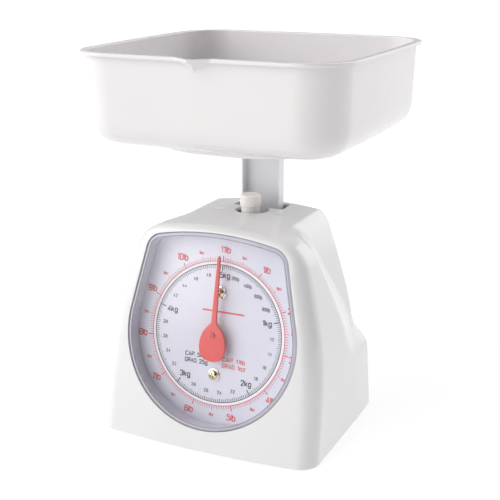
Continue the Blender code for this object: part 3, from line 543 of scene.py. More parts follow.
def enamel(name, low, high, roughness):
    """Paint on sheet metal with a fine orange peel."""
    rough, peel = (roughness * 0.85, roughness * 1.2), ((420, 2), 0.3, 0.00008)
    values = {"Coat_Weight": 0.2, "Coat_Roughness": 0.15}
    return noisy(name, (25, 3), low, high, (150, 3), rough, peel, **values)


WHITE_GLOSS = plastic("white_gloss", (0.715, 0.705, 0.71), (0.74, 0.73, 0.735), 0.22, coat=0.45)
BOWL_WHITE = plastic("bowl_white", (0.74, 0.715, 0.72), (0.765, 0.74, 0.745), 0.22, coat=0.15)
KNOB_WHITE = plastic("knob_white", (0.90, 0.875, 0.84), (0.95, 0.92, 0.89), 0.38, waviness=0.00006)
GREY_PLASTIC = plastic("grey_plastic", (0.48, 0.48, 0.49), (0.56, 0.56, 0.57), 0.5)
PLATE_WHITE = plastic("plate_white", (0.76, 0.75, 0.745), (0.81, 0.80, 0.795), 0.35)
CORAL = plastic("coral_plastic", (0.68, 0.085, 0.075), (0.75, 0.11, 0.10), 0.38, waviness=0.00004)
CORAL_DARK = plastic("coral_rivet", (0.50, 0.10, 0.08), (0.58, 0.13, 0.10), 0.42)
DIAL_FACE = dial_sheet()
COLUMN_GREY = enamel("column_grey", (0.82, 0.82, 0.845), (0.87, 0.87, 0.89), 0.36)
STEEL = metal("zinc_steel", (0.58, 0.58, 0.58), (0.70, 0.70, 0.69), 0.40, (1, 1, 0.08))
BRASS = metal("brass", (0.66, 0.50, 0.26), (0.80, 0.63, 0.36), 0.40, (1, 1, 0.2))
SCREW_STEEL = metal("yellow_zinc", (0.66, 0.56, 0.34), (0.80, 0.72, 0.50), 0.20)
WASHER_STEEL = metal("washer_nickel", (0.78, 0.78, 0.76), (0.88, 0.88, 0.86), 0.20)
RUBBER_TONES = ((0.10, 0.10, 0.105), (0.16, 0.16, 0.165))
RUBBER_SKIN = ((1200, 4), 0.5, 0.00006)
RUBBER = noisy("foot_rubber", (120, 5), *RUBBER_TONES, (300, 4), (0.7, 0.9), RUBBER_SKIN)
INK_BLACK = ink("ink_black", (0.06, 0.06, 0.065), (0.03, 0.03, 0.033))
INK_RED = ink("ink_red", (0.78, 0.10, 0.10), (0.66, 0.07, 0.075))
INK_WHITE = ink("ink_white", (0.86, 0.85, 0.88), (0.80, 0.79, 0.83))
CLEAR_FRONT = clear_front()
CLEAR_EDGE = clear_edge("clear_edge", (0.72, 0.71, 0.79), (0.78, 0.77, 0.85))
# the border's milky tint, made darker than the edge's with painted shade
BORDER_TINT_AND_SHADE = clear_edge("clear_border", (0.50, 0.49, 0.56), (0.56, 0.55, 0.62))
# painted shade: the groove's dark line is a darker copy of the border material, not a colour of its own
GROOVE_PAINTED_SHADE = clear_edge("clear_groove", (0.34, 0.33, 0.39), (0.40, 0.39, 0.45))
CLEAR_INSIDE = clear("clear_inside", 16, (0.99, 0.99, 0.995), (1.0, 1.0, 1.0))[0].material


# ---- housing


def crown_z(x):
    return CROWN_Z - x * x / (2 * CROWN_RADIUS)


def front_y(x, z):
    bulge = FRONT_BULGE * (x / BULGE_HALF_WIDTH) ** 2
    return FRONT_Y + (z - HOUSING_BOTTOM) * math.tan(LEAN) + bulge


def rear_y(z):
    return mix(REAR_Y_BASE, REAR_Y_TOP, z / CROWN_Z)


def normals(points):
    """Outward normals of a half cross-section; the ends stay level and upright."""
    found = [(1.0, 0.0)]
    for before, after in zip(points, points[2:]):
        dx, dz = after[0] - before[0], after[1] - before[1]
        length = math.hypot(dx, dz)
        found.append((dz / length, -dx / length))
    return found + [(0.0, 1.0)]


def half_arch(half_widths, corner, inset, bottom, fine):
    """Right half of a cross-section, from the bottom of the side to the middle of the crown."""
    side_end, control, crown_start = corner
    heights = [mix(HOUSING_BOTTOM, COMMON_Z, t) for t in steps(16 * fine)]
    heights += [mix(COMMON_Z, side_end[1], t) for t in steps(fine)[1:-1]]
    points = [(flow(half_widths, z), z) for z in heights]
    points[0] = (points[0][0], bottom)
    end = (crown_start, crown_z(crown_start))
    for t in steps(4 * fine):
        blend = [mix(mix(a, c, t), mix(c, b, t), t) for a, c, b in zip(side_end, control, end)]
        points.append(tuple(blend))
    points += [(crown_start * (1 - t), crown_z(crown_start * (1 - t))) for t in steps(4 * fine)[1:]]
    return [(x - nx * inset, z - nz * inset) for (x, z), (nx, nz) in zip(points, normals(points))]


def narrowing(y, z):
    """0 where the section is the front's, 1 where it is the rear's; it starts later lower down."""
    height = (z - NARROW_Z) / NARROW_RISE
    start, end = mix(*NARROW_START, height), mix(*NARROW_END, height)
    return ease((y - start) / (end - start))


def half_slices(inset, bottom, fine):
    """Half cross-sections from front to rear, each a list of points from bottom to crown."""
    front = half_arch(FRONT_HALF, FRONT_CORNER, inset, bottom, fine)
    rear = half_arch(REAR_HALF, REAR_CORNER, inset, bottom, fine)
    out = normals(front)
    radii = [mix(EDGE_RADIUS_SIDE, EDGE_RADIUS_TOP, ease(abs(n[1]) * 1.3)) - inset for n in out]
    rear_radius = REAR_RADIUS - inset
    slices = []
    for sine, cosine in quarter_turn(3 * fine):
        points = []
        for (x, z), (nx, nz), r in zip(front, out, radii):
            px, pz = x - nx * r * (1 - sine), z - nz * r * (1 - sine)
            points.append((px, front_y(px, pz) + inset / math.cos(LEAN) + r * (1 - cosine), pz))
        slices.append(points)
    rounded = slices[-1]
    for g in steps(9 * fine)[1:]:
        points = []
        for start, (fx, fz), (rx, rz) in zip(rounded, front, rear):
            y = mix(start[1], rear_y(rz) - inset - rear_radius, g)
            s = narrowing(y, fz)
            points.append((mix(fx, rx, s), y, mix(fz, rz, s)))
        slices.append(points)
    body_end = slices[-1]
    for sine, cosine in quarter_turn(2 * fine)[1:]:
        points = []
        for (x, y, z), (nx, nz) in zip(body_end, normals([(x, z) for x, _, z in body_end])):
            soft = mix(1, REAR_SOFT_SHARE, ease((z - REAR_SOFT_Z) / REAR_SOFT_RISE))
            drop = rear_radius * (1 - cosine) * soft
            points.append((x - nx * drop, y + rear_radius * sine, z - nz * drop))
        slices.append(points)
    return slices


def fill_between(bm, left, right, columns, place):
    """Rows of faces between two matching lists of vertices, which may end in a shared one."""
    rows = []
    for a, b in zip(left, right):
        if a is b:
            rows.append([a] * (columns + 1))
            continue
        inner = [place(*a.co.lerp(b.co, t).xy, a.co.z) for t in steps(columns)[1:-1]]
        rows.append([a, *[bm.verts.new(point) for point in inner], b])
    for low, high in zip(rows, rows[1:]):
        for i in range(columns):
            corners = dict.fromkeys((low[i], low[i + 1], high[i + 1], high[i]))
            bm.faces.new(list(corners))


def housing_solid(inset, bottom, fine):
    """The housing's outer solid, or with an inset the hollow inside it."""
    bm = bmesh.new()
    slices = []
    for points in half_slices(inset, bottom, fine):
        right = [bm.verts.new(point) for point in points]
        left = [bm.verts.new((-x, y, z)) for x, y, z in points[:-1]] + [right[-1]]
        slices.append((left, right))
    for (left_a, right_a), (left_b, right_b) in zip(slices, slices[1:]):
        for side_a, side_b in ((left_a, left_b), (right_a, right_b)):
            for i in range(len(side_a) - 1):
                bm.faces.new((side_a[i], side_a[i + 1], side_b[i + 1], side_b[i]))
    shift = inset / math.cos(LEAN)
    fill_between(bm, *slices[0], 16 * fine, lambda x, y, z: (x, front_y(x, z) + shift, z))
    fill_between(bm, *slices[-1], 6 * fine, lambda x, y, z: (x, rear_y(z) - inset, z))
    bmesh.ops.holes_fill(bm, edges=[e for e in bm.edges if e.is_boundary])
    return bm


def window_corner():
    """Centre of the window's upper corner arc, and the angle at which it runs into the top arc."""
    slant = math.radians(WINDOW_SLANT)
    out, along = Vector((math.cos(slant), math.sin(slant))), Vector((-math.sin(slant), math.cos(slant)))
    top_centre = Vector((0, WINDOW_TOP_V - WINDOW_TOP_RADIUS))
    start = Vector((0, WINDOW_CENTRE_V)) + out * (WINDOW_RADIUS - WINDOW_CORNER_RADIUS) - top_centre
    reach = WINDOW_TOP_RADIUS - WINDOW_CORNER_RADIUS
    half = start.dot(along)
    corner = start + along * (math.sqrt(half * half - start.dot(start) + reach * reach) - half)
    return corner + top_centre, math.degrees(math.atan2(corner.y, corner.x))


def window_half(offset, fine=3):
    """Right half of the window's outline from bottom to top, grown by offset."""
    corner, top_angle = window_corner()
    points = arc((0, WINDOW_CENTRE_V), WINDOW_RADIUS + offset, -90, WINDOW_SLANT, 14 * fine)
    points += arc(corner, WINDOW_CORNER_RADIUS + offset, WINDOW_SLANT, top_angle, 4 * fine)
    top_centre = (0, WINDOW_TOP_V - WINDOW_TOP_RADIUS)
    points += arc(top_centre, WINDOW_TOP_RADIUS + offset, top_angle, 90, 6 * fine)[1:]
    points[0], points[-1] = (0.0, points[0][1]), (0.0, points[-1][1])
    return points


def front_w(u):
    """Height of the housing's front face over the dial."""
    return FRONT_W - FRONT_BULGE * math.cos(LEAN) * (u / BULGE_HALF_WIDTH) ** 2


def rounding(radius, first=20):
    """(offset, depth) steps of a cutter that leaves a rounded edge, from above the surface down."""
    angles = [math.radians(mix(first, 90, t)) for t in steps(5)]
    found = [(radius * (1 - math.sin(a)), radius * (math.cos(angles[0]) - math.cos(a))) for a in angles]
    above = (found[0][0] + math.cos(angles[0]), -math.sin(angles[0]))
    return [(above[0], above[1] - CUTTER_TOP), above, *found]


def window_cutter():
    rings = []
    for offset, depth in rounding(EDGE_ROUNDING):
        rings.append([(u, v, front_w(u) - depth) for u, v in full_outline(window_half(offset))])
    return loft([*rings, at_height(full_outline(window_half(0)), FLANGE_W[0] - 1)])


def crown_cutter(outline_of):
    """A cutter through the crown with a rounded edge. outline_of(offset) gives its outline."""
    rings = []
    for offset, depth in rounding(CROWN_ROUNDING):
        rings.append([(x, y, crown_z(x) - depth) for x, y in outline_of(offset)])
    return loft([*rings, at_height(outline_of(0), CROWN_Z - CROWN_CUT)])


def slot_outline(offset):
    half_y, middle = (SLOT_Y[1] - SLOT_Y[0]) / 2, sum(SLOT_Y) / 2
    return rounded_rectangle(SLOT_HALF + offset, half_y + offset, SLOT_CORNER + offset, 6, (0, middle))


def turn_mark(side):
    """A cutter for a shallow long dimple in the crown, beside the knob."""
    rings = []
    for offset, depth in MARK_SECTION:
        half_y = MARK_HALF_Y + offset
        outline = rounded_rectangle(MARK_HALF + offset, half_y, half_y * 0.98, 6, (side * MARK_X, MARK_Y))
        rings.append([(x, y, crown_z(x) - depth) for x, y in outline])
    return loft(rings)


def housing():
    tools = [cut(housing_solid(WALL, HOUSING_BOTTOM - 4, 2))]
    for x, y in BOSS_PLACES:
        end = math.copysign(HALF_AT_BOSS, x)
        rib = block((min(x, end), y - RIB_HALF, RIB_Z[0]), (max(x, end), y + RIB_HALF, RIB_Z[1]))
        tools.append(("UNION", turned([(BOSS_RADIUS, z) for z in BOSS_Z], 24, (x, y)), None))
        tools.append(("UNION", rib, None))
    tools += [drill(BOSS_HOLE_RADIUS, *BOSS_HOLE_Z, 16, place) for place in BOSS_PLACES]
    tools += [cut(window_cutter(), DIAL_MATRIX), cut(crown_cutter(slot_outline))]
    tools.append(cut(crown_cutter(lambda offset: circle(KNOB_HOLE_RADIUS + offset, 64, KNOB_HOLE_CENTRE))))
    tools += [cut(turn_mark(side)) for side in (-1, 1)]
    bm = carved(housing_solid(0.0, HOUSING_BOTTOM, 5), tools)
    piece("housing_shell", bm, "base", WHITE_GLOSS, ["housing"])


# ---- dial


FACE, EDGE, GROOVE, INSIDE, BORDER = range(5)  # the cover's materials
COVER_MATERIALS = (CLEAR_FRONT, CLEAR_EDGE, GROOVE_PAINTED_SHADE, CLEAR_INSIDE, BORDER_TINT_AND_SHADE)


def cover_profile():
    """(offset, depth under the housing's face, w, material) from the front's edge round to the inside.
    Either depth or w is given. The material is that of the faces up to the next entry."""
    outside, inside = -COVER_GAP, -COVER_GAP - COVER_WALL
    groove, groove_depth = outside - BORDER_WIDTH - 0.1, COVER_SINK + GROOVE_DEPTH
    profile = [(groove - GROOVE_WIDTH, COVER_SINK, None, GROOVE)]
    profile += [(offset, groove_depth, None, GROOVE) for offset in (groove - GROOVE_WIDTH + 0.1, groove)]
    for sine, cosine in quarter_turn(8):
        depth = COVER_SINK + BORDER_DEPTH * (1 - cosine)
        profile.append((outside - BORDER_WIDTH * (1 - sine), depth, None, BORDER))
    low, high = FLANGE_W
    corners = ((outside, high), (FLANGE_REACH, high), (FLANGE_REACH, low), (outside, low))
    corners += ((outside, COVER_BACK_W), (inside, COVER_BACK_W))
    profile += [(offset, None, w, EDGE) for offset, w in corners]
    for sine, cosine in quarter_turn(5):
        depth = COVER_SINK + COVER_WALL + BORDER_DEPTH / 2 * (1 - sine)
        profile.append((inside - BORDER_WIDTH / 3 * (1 - cosine), depth, None, EDGE))
    return profile


def dial_cover():
    """A clear tray: a front with a milky rounded border, a side wall, and a flange behind the housing."""
    bm = bmesh.new()
    rows = []
    profile = cover_profile()
    for offset, depth, w, _ in profile:
        half = window_half(offset)
        right = [bm.verts.new((u, v, front_w(u) - depth if w is None else w)) for u, v in half]
        left = [bm.verts.new((-p.co.x, p.co.y, p.co.z)) for p in right[1:-1]]
        rows.append(right + left[::-1])
    count = len(rows[0])
    for (a, b), (_, _, _, index) in zip(zip(rows, rows[1:]), profile):
        for i in range(count):
            bm.faces.new((a[i], a[(i + 1) % count], b[(i + 1) % count], b[i])).material_index = index
    half = len(window_half(0))
    for edge, depth, index in ((rows[0], COVER_SINK, FACE), (rows[-1], COVER_SINK + COVER_WALL, INSIDE)):
        left = [edge[0], *edge[: half - 1 : -1], edge[half - 1]]
        before = set(bm.faces)
        fill_between(bm, left, edge[:half], 24, lambda u, v, _, d=depth: (u, v, front_w(u) - d))
        for face in set(bm.faces) - before:
            face.material_index = index
    piece("dial_cover", bm, "base", COVER_MATERIALS, ["dial_window"], DIAL_MATRIX)


def dial_face():
    bm = loft([at_height(full_outline(window_half(offset)), w) for offset, w in PLATE_SECTION])
    screw_v = dial_screw_v()
    holes = [drill(SCREW_HOLE, -3, 2, 28, (0, v)) for v in (screw_v, -screw_v)]
    bm = carved(bm, [*holes, drill(SHAFT_HOLE, -3, 2, 28)])
    piece("dial_face", bm, "base", DIAL_FACE, ["dial_plate"], DIAL_MATRIX)


def dial_screw_v():
    """How far the dial's screws stand above and below its centre."""
    low, high = low_high("dial_washer_upper")
    middle = (low + high) / 2 - DIAL_CENTRE
    return middle.y * math.sin(LEAN) + middle.z * math.cos(LEAN)


def join(bm, other):
    mesh = bpy.data.meshes.new("join")
    other.to_mesh(mesh)
    other.free()
    bm.from_mesh(mesh)
    bpy.data.meshes.remove(mesh)


def tick(bm, degrees, inner, outer, width):
    """A printed line across the ring, at an angle clockwise from the top."""
    line = block((-width / 2, inner, PRINT_W - PRINT_DEPTH), (width / 2, outer, PRINT_W))
    bmesh.ops.rotate(line, matrix=Matrix.Rotation(-math.radians(degrees), 3, "Z"), verts=line.verts)
    join(bm, line)


def ring(bm, radius, width=RING_WIDTH):
    """A printed circle."""
    inner, outer, low = radius - width / 2, radius + width / 2, PRINT_W - PRINT_DEPTH
    join(bm, hoop(((inner, low), (inner, PRINT_W), (outer, PRINT_W), (outer, low)), RING_SIDES))


# Characters on a grid 4 wide and 7 high: x,y points of strokes parted by /, where o closes a stroke
STROKES = {
    "0": "0,0 4,0 4,7 0,7 o",
    "1": "0.4,5.2 2.2,7 2.2,0",
    "2": "0,5.2 0,7 4,7 4,4.2 0,0 4,0",
    "3": "0,5.6 0,7 4,7 4,3.7 1.6,3.7 / 1.6,3.7 4,3.7 4,0 0,0 0,1.4",
    "4": "2.9,0 2.9,7 0,2 4,2",
    "5": "3.7,7 0.3,7 0.3,4.2 4,4.2 4,0 0,0 0,1.4",
    "6": "4,5.6 4,7 0,7 0,0 4,0 4,4.1 0,4.1",
    "7": "0,7 4,7 1.4,0",
    "8": "0,3.7 4,3.7 4,7 0,7 o / 0,0 4,0 4,3.7 0,3.7 o",
    "9": "0,1.4 0,0 4,0 4,7 0,7 0,2.9 4,2.9",
    ".": "0.4,0 0.4,0.9",
    "k": "0,0 0,7 / 3.6,5 0.3,1.9 / 1.3,2.9 3.9,0",
    "g": "0,0.2 3.8,0.2 3.8,5 0,5 o / 3.8,1 3.8,-2 0.2,-2 0.2,-1.2",
    "l": "0,0 0,7",
    "b": "0,0 0,7 / 0,0 3.8,0 3.8,5 0,5 o",
    "o": "0,0 3.8,0 3.8,5 0,5 o",
    "z": "0,5 3.6,5 0,0 3.6,0",
    "A": "0,0 2,7 4,0 / 0.7,2.3 3.3,2.3",
    "C": "4,5.6 4,7 0,7 0,0 4,0 4,1.4",
    "D": "0,0 2.6,0 4,1.6 4,5.4 2.6,7 0,7 o",
    "G": "4,5.6 4,7 0,7 0,0 4,0 4,3.3 2.2,3.3",
    "P": "0,0 0,7 4,7 4,3.2 0,3.2",
    "R": "0,0 0,7 4,7 4,3.4 0,3.4 / 1.8,3.4 4,0",
}
SHARP_CHARACTERS = "147kzA"
CORNER, LETTER_GAP, WORD_GAP, GRID_HIGH = 1.1, 2.0, 2.6, 7.0


def strokes(character):
    """(closed, points) for each stroke of a character."""
    found = []
    for drawn in STROKES[character].split("/"):
        points = [[float(value) for value in point.split(",")] for point in drawn.split() if point != "o"]
        found.append(("o" in drawn, points))
    return found


def rounded_path(points, closed, radius):
    """The points of a stroke with its corners rounded."""
    points = [Vector(point) for point in points]
    path = []
    for i, point in enumerate(points):
        if radius == 0 or (not closed and i in (0, len(points) - 1)):
            path.append(point)
            continue
        back, on = points[i - 1] - point, points[(i + 1) % len(points)] - point
        reach = min(radius, back.length * 0.45, on.length * 0.45)
        start, end = point + back.normalized() * reach, point + on.normalized() * reach
        path += [mix(mix(start, point, t), mix(point, end, t), t) for t in steps(3)]
    return path


def stroke(bm, path, closed, width, layer):
    """A printed line of even width along a path of 2-D points in millimetres. It climbs by a hair on
    the way, and starts higher on a later layer, so that lines that cross never lie in one plane."""
    rows = []
    for i, point in enumerate(path):
        top = PRINT_W + LAYER_STEP * (layer + i / len(path))
        first_end, last_end = not closed and i == 0, not closed and i == len(path) - 1
        arriving = point - path[i - 1] if not first_end else path[i + 1] - point
        leaving = path[(i + 1) % len(path)] - point if not last_end else arriving
        along = (arriving.normalized() + leaving.normalized()).normalized()
        reach = width / 2 / max(along.dot(arriving.normalized()), 0.55)
        side = Vector((-along.y, along.x)) * reach
        corners = ((point + side, top), (point - side, top))
        corners += ((point - side, PRINT_W - PRINT_DEPTH), (point + side, PRINT_W - PRINT_DEPTH))
        rows.append([bm.verts.new((at.x, at.y, w)) for at, w in corners])
    following = rows[1:] + rows[:1] if closed else rows[1:]
    for a, b in zip(rows, following):
        for i in range(4):
            bm.faces.new((a[i], a[(i + 1) % 4], b[(i + 1) % 4], b[i]))
    if not closed:
        bm.faces.new(rows[0])
        bm.faces.new(rows[-1])


def lettering(bm, text, place, height, weight, squeeze=1.0, width=None, align=0.5):
    """Printed characters. place is the middle of their height, at the share align of their width.
    height is a digit's, weight the strokes' width; width, where given, is that of the whole text."""
    scale, at = height / GRID_HIGH, 0.0
    laid = []
    for character in text:
        if character == " ":
            at += WORD_GAP
            continue
        xs = [x for _, points in strokes(character) for x, _ in points]
        laid.append((character, at - min(xs)))
        at += max(xs) - min(xs) + LETTER_GAP
    natural = at - LETTER_GAP
    across = (width - weight) / natural if width else scale * squeeze
    for character, start in laid:
        radius = 0.0 if character in SHARP_CHARACTERS else CORNER
        for layer, (closed, points) in enumerate(strokes(character)):
            path = []
            for point in rounded_path(points, closed, radius):
                u = place[0] + (start + point.x - natural * align) * across
                path.append(Vector((u, place[1] + (point.y - GRID_HIGH / 2) * scale)))
            stroke(bm, path, closed, weight, layer)


def around(degrees, radius):
    a = math.radians(degrees)
    return radius * math.sin(a), radius * math.cos(a)


def kilogram_print():
    bm = bmesh.new()
    ring(bm, BLACK_RING)
    for division in range(DIVISIONS):
        angle = 360 * division / DIVISIONS
        if division % 40 == 0:
            tick(bm, angle, KG_TICK, BLACK_RING, THICK_TICK)
            kilograms = division // 40
            lettering(bm, f"{kilograms or FULL_KG}kg", KG_PLACES[kilograms], *KG_TEXT)
            continue
        tick(bm, angle, SHORT_TICK if division % 4 else LONG_TICK, BLACK_RING, THIN_TICK)
        if division % 8 == 0:
            text = f"{division * 25}g" if division < 40 else f"{division / 40:.1f}"
            lettering(bm, text, around(angle, GRAM_RADIUS), *GRAM_TEXT)
    for text, place, width in BLACK_LINES:
        lettering(bm, text, place, *LINE_TEXT, width=width, align=0.0)
    piece("dial_print_black", bm, "base", INK_BLACK, matrix=DIAL_MATRIX)


def pound_print():
    bm = bmesh.new()
    ring(bm, RED_RING)
    for ounce in range(int(FULL_LB * 16)):
        angle = 360 * ounce / (FULL_LB * 16)
        pounds, rest = divmod(ounce, 16)
        if rest == 0:
            tick(bm, angle, RED_RING, LB_TICK, THICK_TICK)
            lettering(bm, f"{pounds or 11}lb", around(angle + LB_TURN, LB_RADIUS), *LB_TEXT)
            continue
        tick(bm, angle, RED_RING, HALF_TICK if rest == 8 else OUNCE_TICK, THIN_TICK)
        if rest == 8:
            lettering(bm, "8oz", around(angle, OUNCE_RADIUS), *OUNCE_TEXT)
    for text, place, width in RED_LINES:
        lettering(bm, text, place, *LINE_TEXT, width=width, align=0.0)
    join(bm, block((*PLAIN_LINE[0], PRINT_W - PRINT_DEPTH), (*PLAIN_LINE[1], PRINT_W)))
    piece("dial_print_red", bm, "base", INK_RED, matrix=DIAL_MATRIX)


def white_band():
    """The plain band between the two printed rings."""
    bm = bmesh.new()
    ring(bm, (BLACK_RING + RED_RING) / 2, RED_RING - BLACK_RING - 0.44)
    piece("dial_print_white", bm, "base", INK_WHITE, matrix=DIAL_MATRIX)


def cross_recess(v):
    """Cutters for the cross recess in a dial screw's head."""
    long, short, top = RECESS_SIZE, RECESS_SIZE * RECESS_SHARE, SCREW_HEAD_W[1]
    bars = ((long, short), (short, long))
    return [cut(block((-a, v - b, top - RECESS_DEPTH), (a, v + b, top + 1))) for a, b in bars]


def dial_screws():
    screw_v, (head_low, head_top) = dial_screw_v(), SCREW_HEAD_W
    profile = [(SCREW_SHANK - 0.3, SCREW_LOW), (SCREW_SHANK, SCREW_LOW + 0.6), (SCREW_SHANK, head_low)]
    profile += [(SCREW_HEAD * c, mix(head_low, head_top, s)) for s, c in quarter_turn(8)[:-1]]
    profile.append((0.3, head_top))
    for side, v in (("upper", screw_v), ("lower", -screw_v)):
        head = carved(turned(profile, 40, (0, v)), cross_recess(v))
        turn = Matrix.Translation((0, v, 0)) @ Matrix.Rotation(math.radians(RECESS_TURN), 4, "Z")
        bmesh.ops.transform(head, matrix=turn @ Matrix.Translation((0, -v, 0)), verts=head.verts)
        node = f"dial_screw_{side}"
        piece(f"{node}_head", head, "base", SCREW_STEEL, [node], DIAL_MATRIX, 35)
        node = f"dial_washer_{side}"
        washer = hoop(WASHER_SECTION, 48, (0, v))
        piece(f"{node}_ring", washer, "base", WASHER_STEEL, [node], DIAL_MATRIX, 35)


def pointer_half(inset):
    """Right half of the pointer's outline, drawn in by inset, from its bottom to the tip."""
    points = [(0.0, PADDLE_LOW + inset)]
    for sine, cosine in quarter_turn(16)[-2::-1]:
        v = mix(PADDLE_V, PADDLE_LOW + inset, sine**PADDLE_POWER)
        points.append(((PADDLE_HALF - inset) * cosine**PADDLE_POWER, v))
    for t in steps(14)[1:]:
        parts = ((1 - t) ** 3, 3 * t * (1 - t) ** 2, 3 * t * t * (1 - t), t**3)
        u, v = (sum(part * at[i] for part, at in zip(parts, SHOULDER)) for i in (0, 1))
        points.append((u - inset, v))
    for t in steps(8)[1:]:
        points.append((mix(*NEEDLE_HALF, t) - inset, mix(STEM_V, POINTER_TIP_V - NEEDLE_END, t)))
    points.append((max(TIP_HALF - inset, 0.1), POINTER_TIP_V - TIP_DROP - inset / 2))
    return [*points, (0.0, POINTER_TIP_V - inset)]


def pointer():
    """A tapering needle on a pear-shaped counterweight, with rounded edges."""
    low, high = POINTER_W
    edge = [(1 - sine, low + POINTER_SOFT * (1 - cosine)) for sine, cosine in quarter_turn(4)]
    edge += [(1 - cosine, high - POINTER_SOFT * (1 - sine)) for sine, cosine in quarter_turn(4)]
    rings = [at_height(full_outline(pointer_half(POINTER_SOFT * share)), w) for share, w in edge]
    bm = carved(loft(rings), [drill(RIVET_HOLE, low - 1, high + 1, 24)])
    piece("dial_pointer", bm, "pointer", CORAL, ["pointer"], DIAL_MATRIX, 40)
    cap = turned(RIVET_CAP, 36)
    piece("pointer_cap", cap, "pointer", CORAL_DARK, ["pointer_rivet"], DIAL_MATRIX, 40)


# ---- knob, platform, bowl


def zero_knob():
    """A ribbed cap on a plain collar."""
    low, high = low_high("zero_knob")
    head_z = low.z + HEAD_RISE
    levels = [(COLLAR_RADIUS - 0.3, low.z, 0), (COLLAR_RADIUS, low.z + 0.3, 0)]
    levels.append((COLLAR_RADIUS, head_z - 0.05, 0))
    levels += [(HEAD_RADIUS - inset, head_z + rise, share) for inset, rise, share in HEAD_UNDER]
    levels += [(HEAD_RADIUS - inset, high.z - drop, share) for inset, drop, share in HEAD_OVER]
    rings = []
    for radius, z, share in levels:
        outline = []
        for i in range(KNOB_SIDES):
            a = 2 * math.pi * i / KNOB_SIDES
            reach = radius - RIB_DEPTH * share * (0.5 - 0.5 * math.cos(KNOB_RIBS * a)) ** 2
            outline.append((KNOB_PLACE.x + reach * math.cos(a), KNOB_PLACE.y + reach * math.sin(a), z))
        rings.append(outline)
    bm = carved(loft(rings), [drill(KNOB_BORE, low.z - 5, head_z - 1, 32, KNOB_PLACE)])
    piece("zero_knob_cap", bm, "zero_knob", KNOB_WHITE, ["zero_knob"], None, 40)


def platform():
    """The round-cornered plate that the bowl stands on, with soft edges and sunk screw holes."""
    low, high = low_high("platform_plate")
    centre, half = (0, (low.y + high.y) / 2), high.x
    levels = [(inset, low.z + rise) for inset, rise in PLATFORM_UNDER]
    levels += [(inset, high.z - drop) for inset, drop in PLATFORM_OVER]
    rings = []
    for inset, z in levels:
        side = half - inset
        rings.append(at_height(rounded_rectangle(side, side, PLATFORM_RADIUS - inset, 24, centre), z))
    holes = []
    for side in ("left", "right"):
        place = sum(low_high(f"platform_screw_{side}"), Vector()) / 2
        holes.append(drill(SCREW_SINK_RADIUS, high.z - SCREW_SINK, high.z + 1, 32, place))
        holes.append(drill(SCREW_CLEARANCE, low.z - 1, high.z, 24, place))
    bm = carved(loft(rings), holes)
    piece("bowl_rest", bm, "platform", PLATE_WHITE, ["platform_plate"])


def bowl_ring(inset, z):
    """One level of the bowl: a rounded rectangle with slightly bowed sides and a pouring lip in front."""
    lean = (BOWL_RIM - z) * BOWL_TAPER
    half = BOWL_HALF - lean - inset
    corner_steps = 20
    corners = rounded_rectangle(half - BOWL_BULGE, half - BOWL_BULGE, BOWL_CORNER - inset, corner_steps)
    straight = 2 * (half - BOWL_BULGE - BOWL_CORNER + inset)
    outer_shares = [0.06 * i for i in range(1, 6)]
    front_shares = outer_shares + [0.5 + x / straight for x in LIP_COLUMNS]
    front_shares += [1 - t for t in outer_shares[::-1]]
    outline = []
    for quarter, (out_x, out_y) in enumerate(((0, 1), (-1, 0), (0, -1), (1, 0))):
        first = quarter * (corner_steps + 1)
        outline += corners[first : first + corner_steps + 1]
        (x0, y0) = corners[first + corner_steps]
        (x1, y1) = corners[(first + corner_steps + 1) % len(corners)]
        for t in front_shares if quarter == 2 else steps(16)[1:-1]:
            bow = BOWL_BULGE * 4 * t * (1 - t)
            outline.append((mix(x0, x1, t) + bow * out_x, mix(y0, y1, t) + bow * out_y))
    level = max(0.0, 1 - (BOWL_RIM - z) / LIP_DEPTH)
    points = []
    for x, y in outline:
        share = max(0.0, level - abs(x) / LIP_HALF_WIDTH) if y < 0 else 0.0
        points.append((x, y + BOWL_CENTRE_Y - LIP_REACH * share, z - LIP_DROP * share))
    return points


def foot_levels(inset, bottom, radius):
    """(inset, height) pairs around the rounded edge between floor and wall, floor first."""
    return [(inset + radius * (1 - s), bottom + radius * (1 - c)) for s, c in quarter_turn(14)]


def fold_lip(bm):
    """Splits the lip's faces along its slanted folds, which are their shorter diagonals."""
    bottom = BOWL_RIM - LIP_DEPTH - LIP_DROP
    half = LIP_HALF_WIDTH + 0.1
    at_lip = {v for v in bm.verts if abs(v.co.x) < half and v.co.y < 0 and v.co.z > bottom}
    faces = [face for face in bm.faces if at_lip.issuperset(face.verts)]
    bmesh.ops.triangulate(bm, faces=faces, quad_method="SHORT_EDGE")


def bowl():
    """A square weighing bowl with a turned-out rim and a round foot edge."""
    outer = foot_levels(0.0, BOWL_BOTTOM, BOWL_FOOT_RADIUS)
    outer += [(0.0, BOWL_RIM - drop) for drop in (*WALL_DROPS, *LIP_LEVELS, RIM_DEPTH + 0.4)]
    under = BOWL_RIM - RIM_DEPTH
    outer.append((-0.3, under))
    rim = [(0.4 - RIM_REACH, under), (0.1 - RIM_REACH, under + 0.1), (-RIM_REACH, under + 0.4)]
    for sine, cosine in quarter_turn(6):
        rim.append((RIM_ROUNDING * (1 - cosine) - RIM_REACH, BOWL_RIM - RIM_ROUNDING * (1 - sine)))
    rim += [(BOWL_WALL - 0.8, BOWL_RIM), (BOWL_WALL - 0.25, BOWL_RIM - 0.2), (BOWL_WALL, BOWL_RIM - 0.7)]
    inner = foot_levels(BOWL_WALL, BOWL_BOTTOM + BOWL_WALL, BOWL_FOOT_RADIUS - BOWL_WALL)
    inner += [(BOWL_WALL, BOWL_RIM - drop) for drop in (*WALL_DROPS, *LIP_LEVELS, 1.5)]
    bm = loft([bowl_ring(inset, z) for inset, z in outer + rim + inner[::-1]])
    fold_lip(bm)
    piece("weighing_bowl", bm, "bowl", BOWL_WHITE, ["bowl"], None, 22)


# ---- carried-over CAD nodes


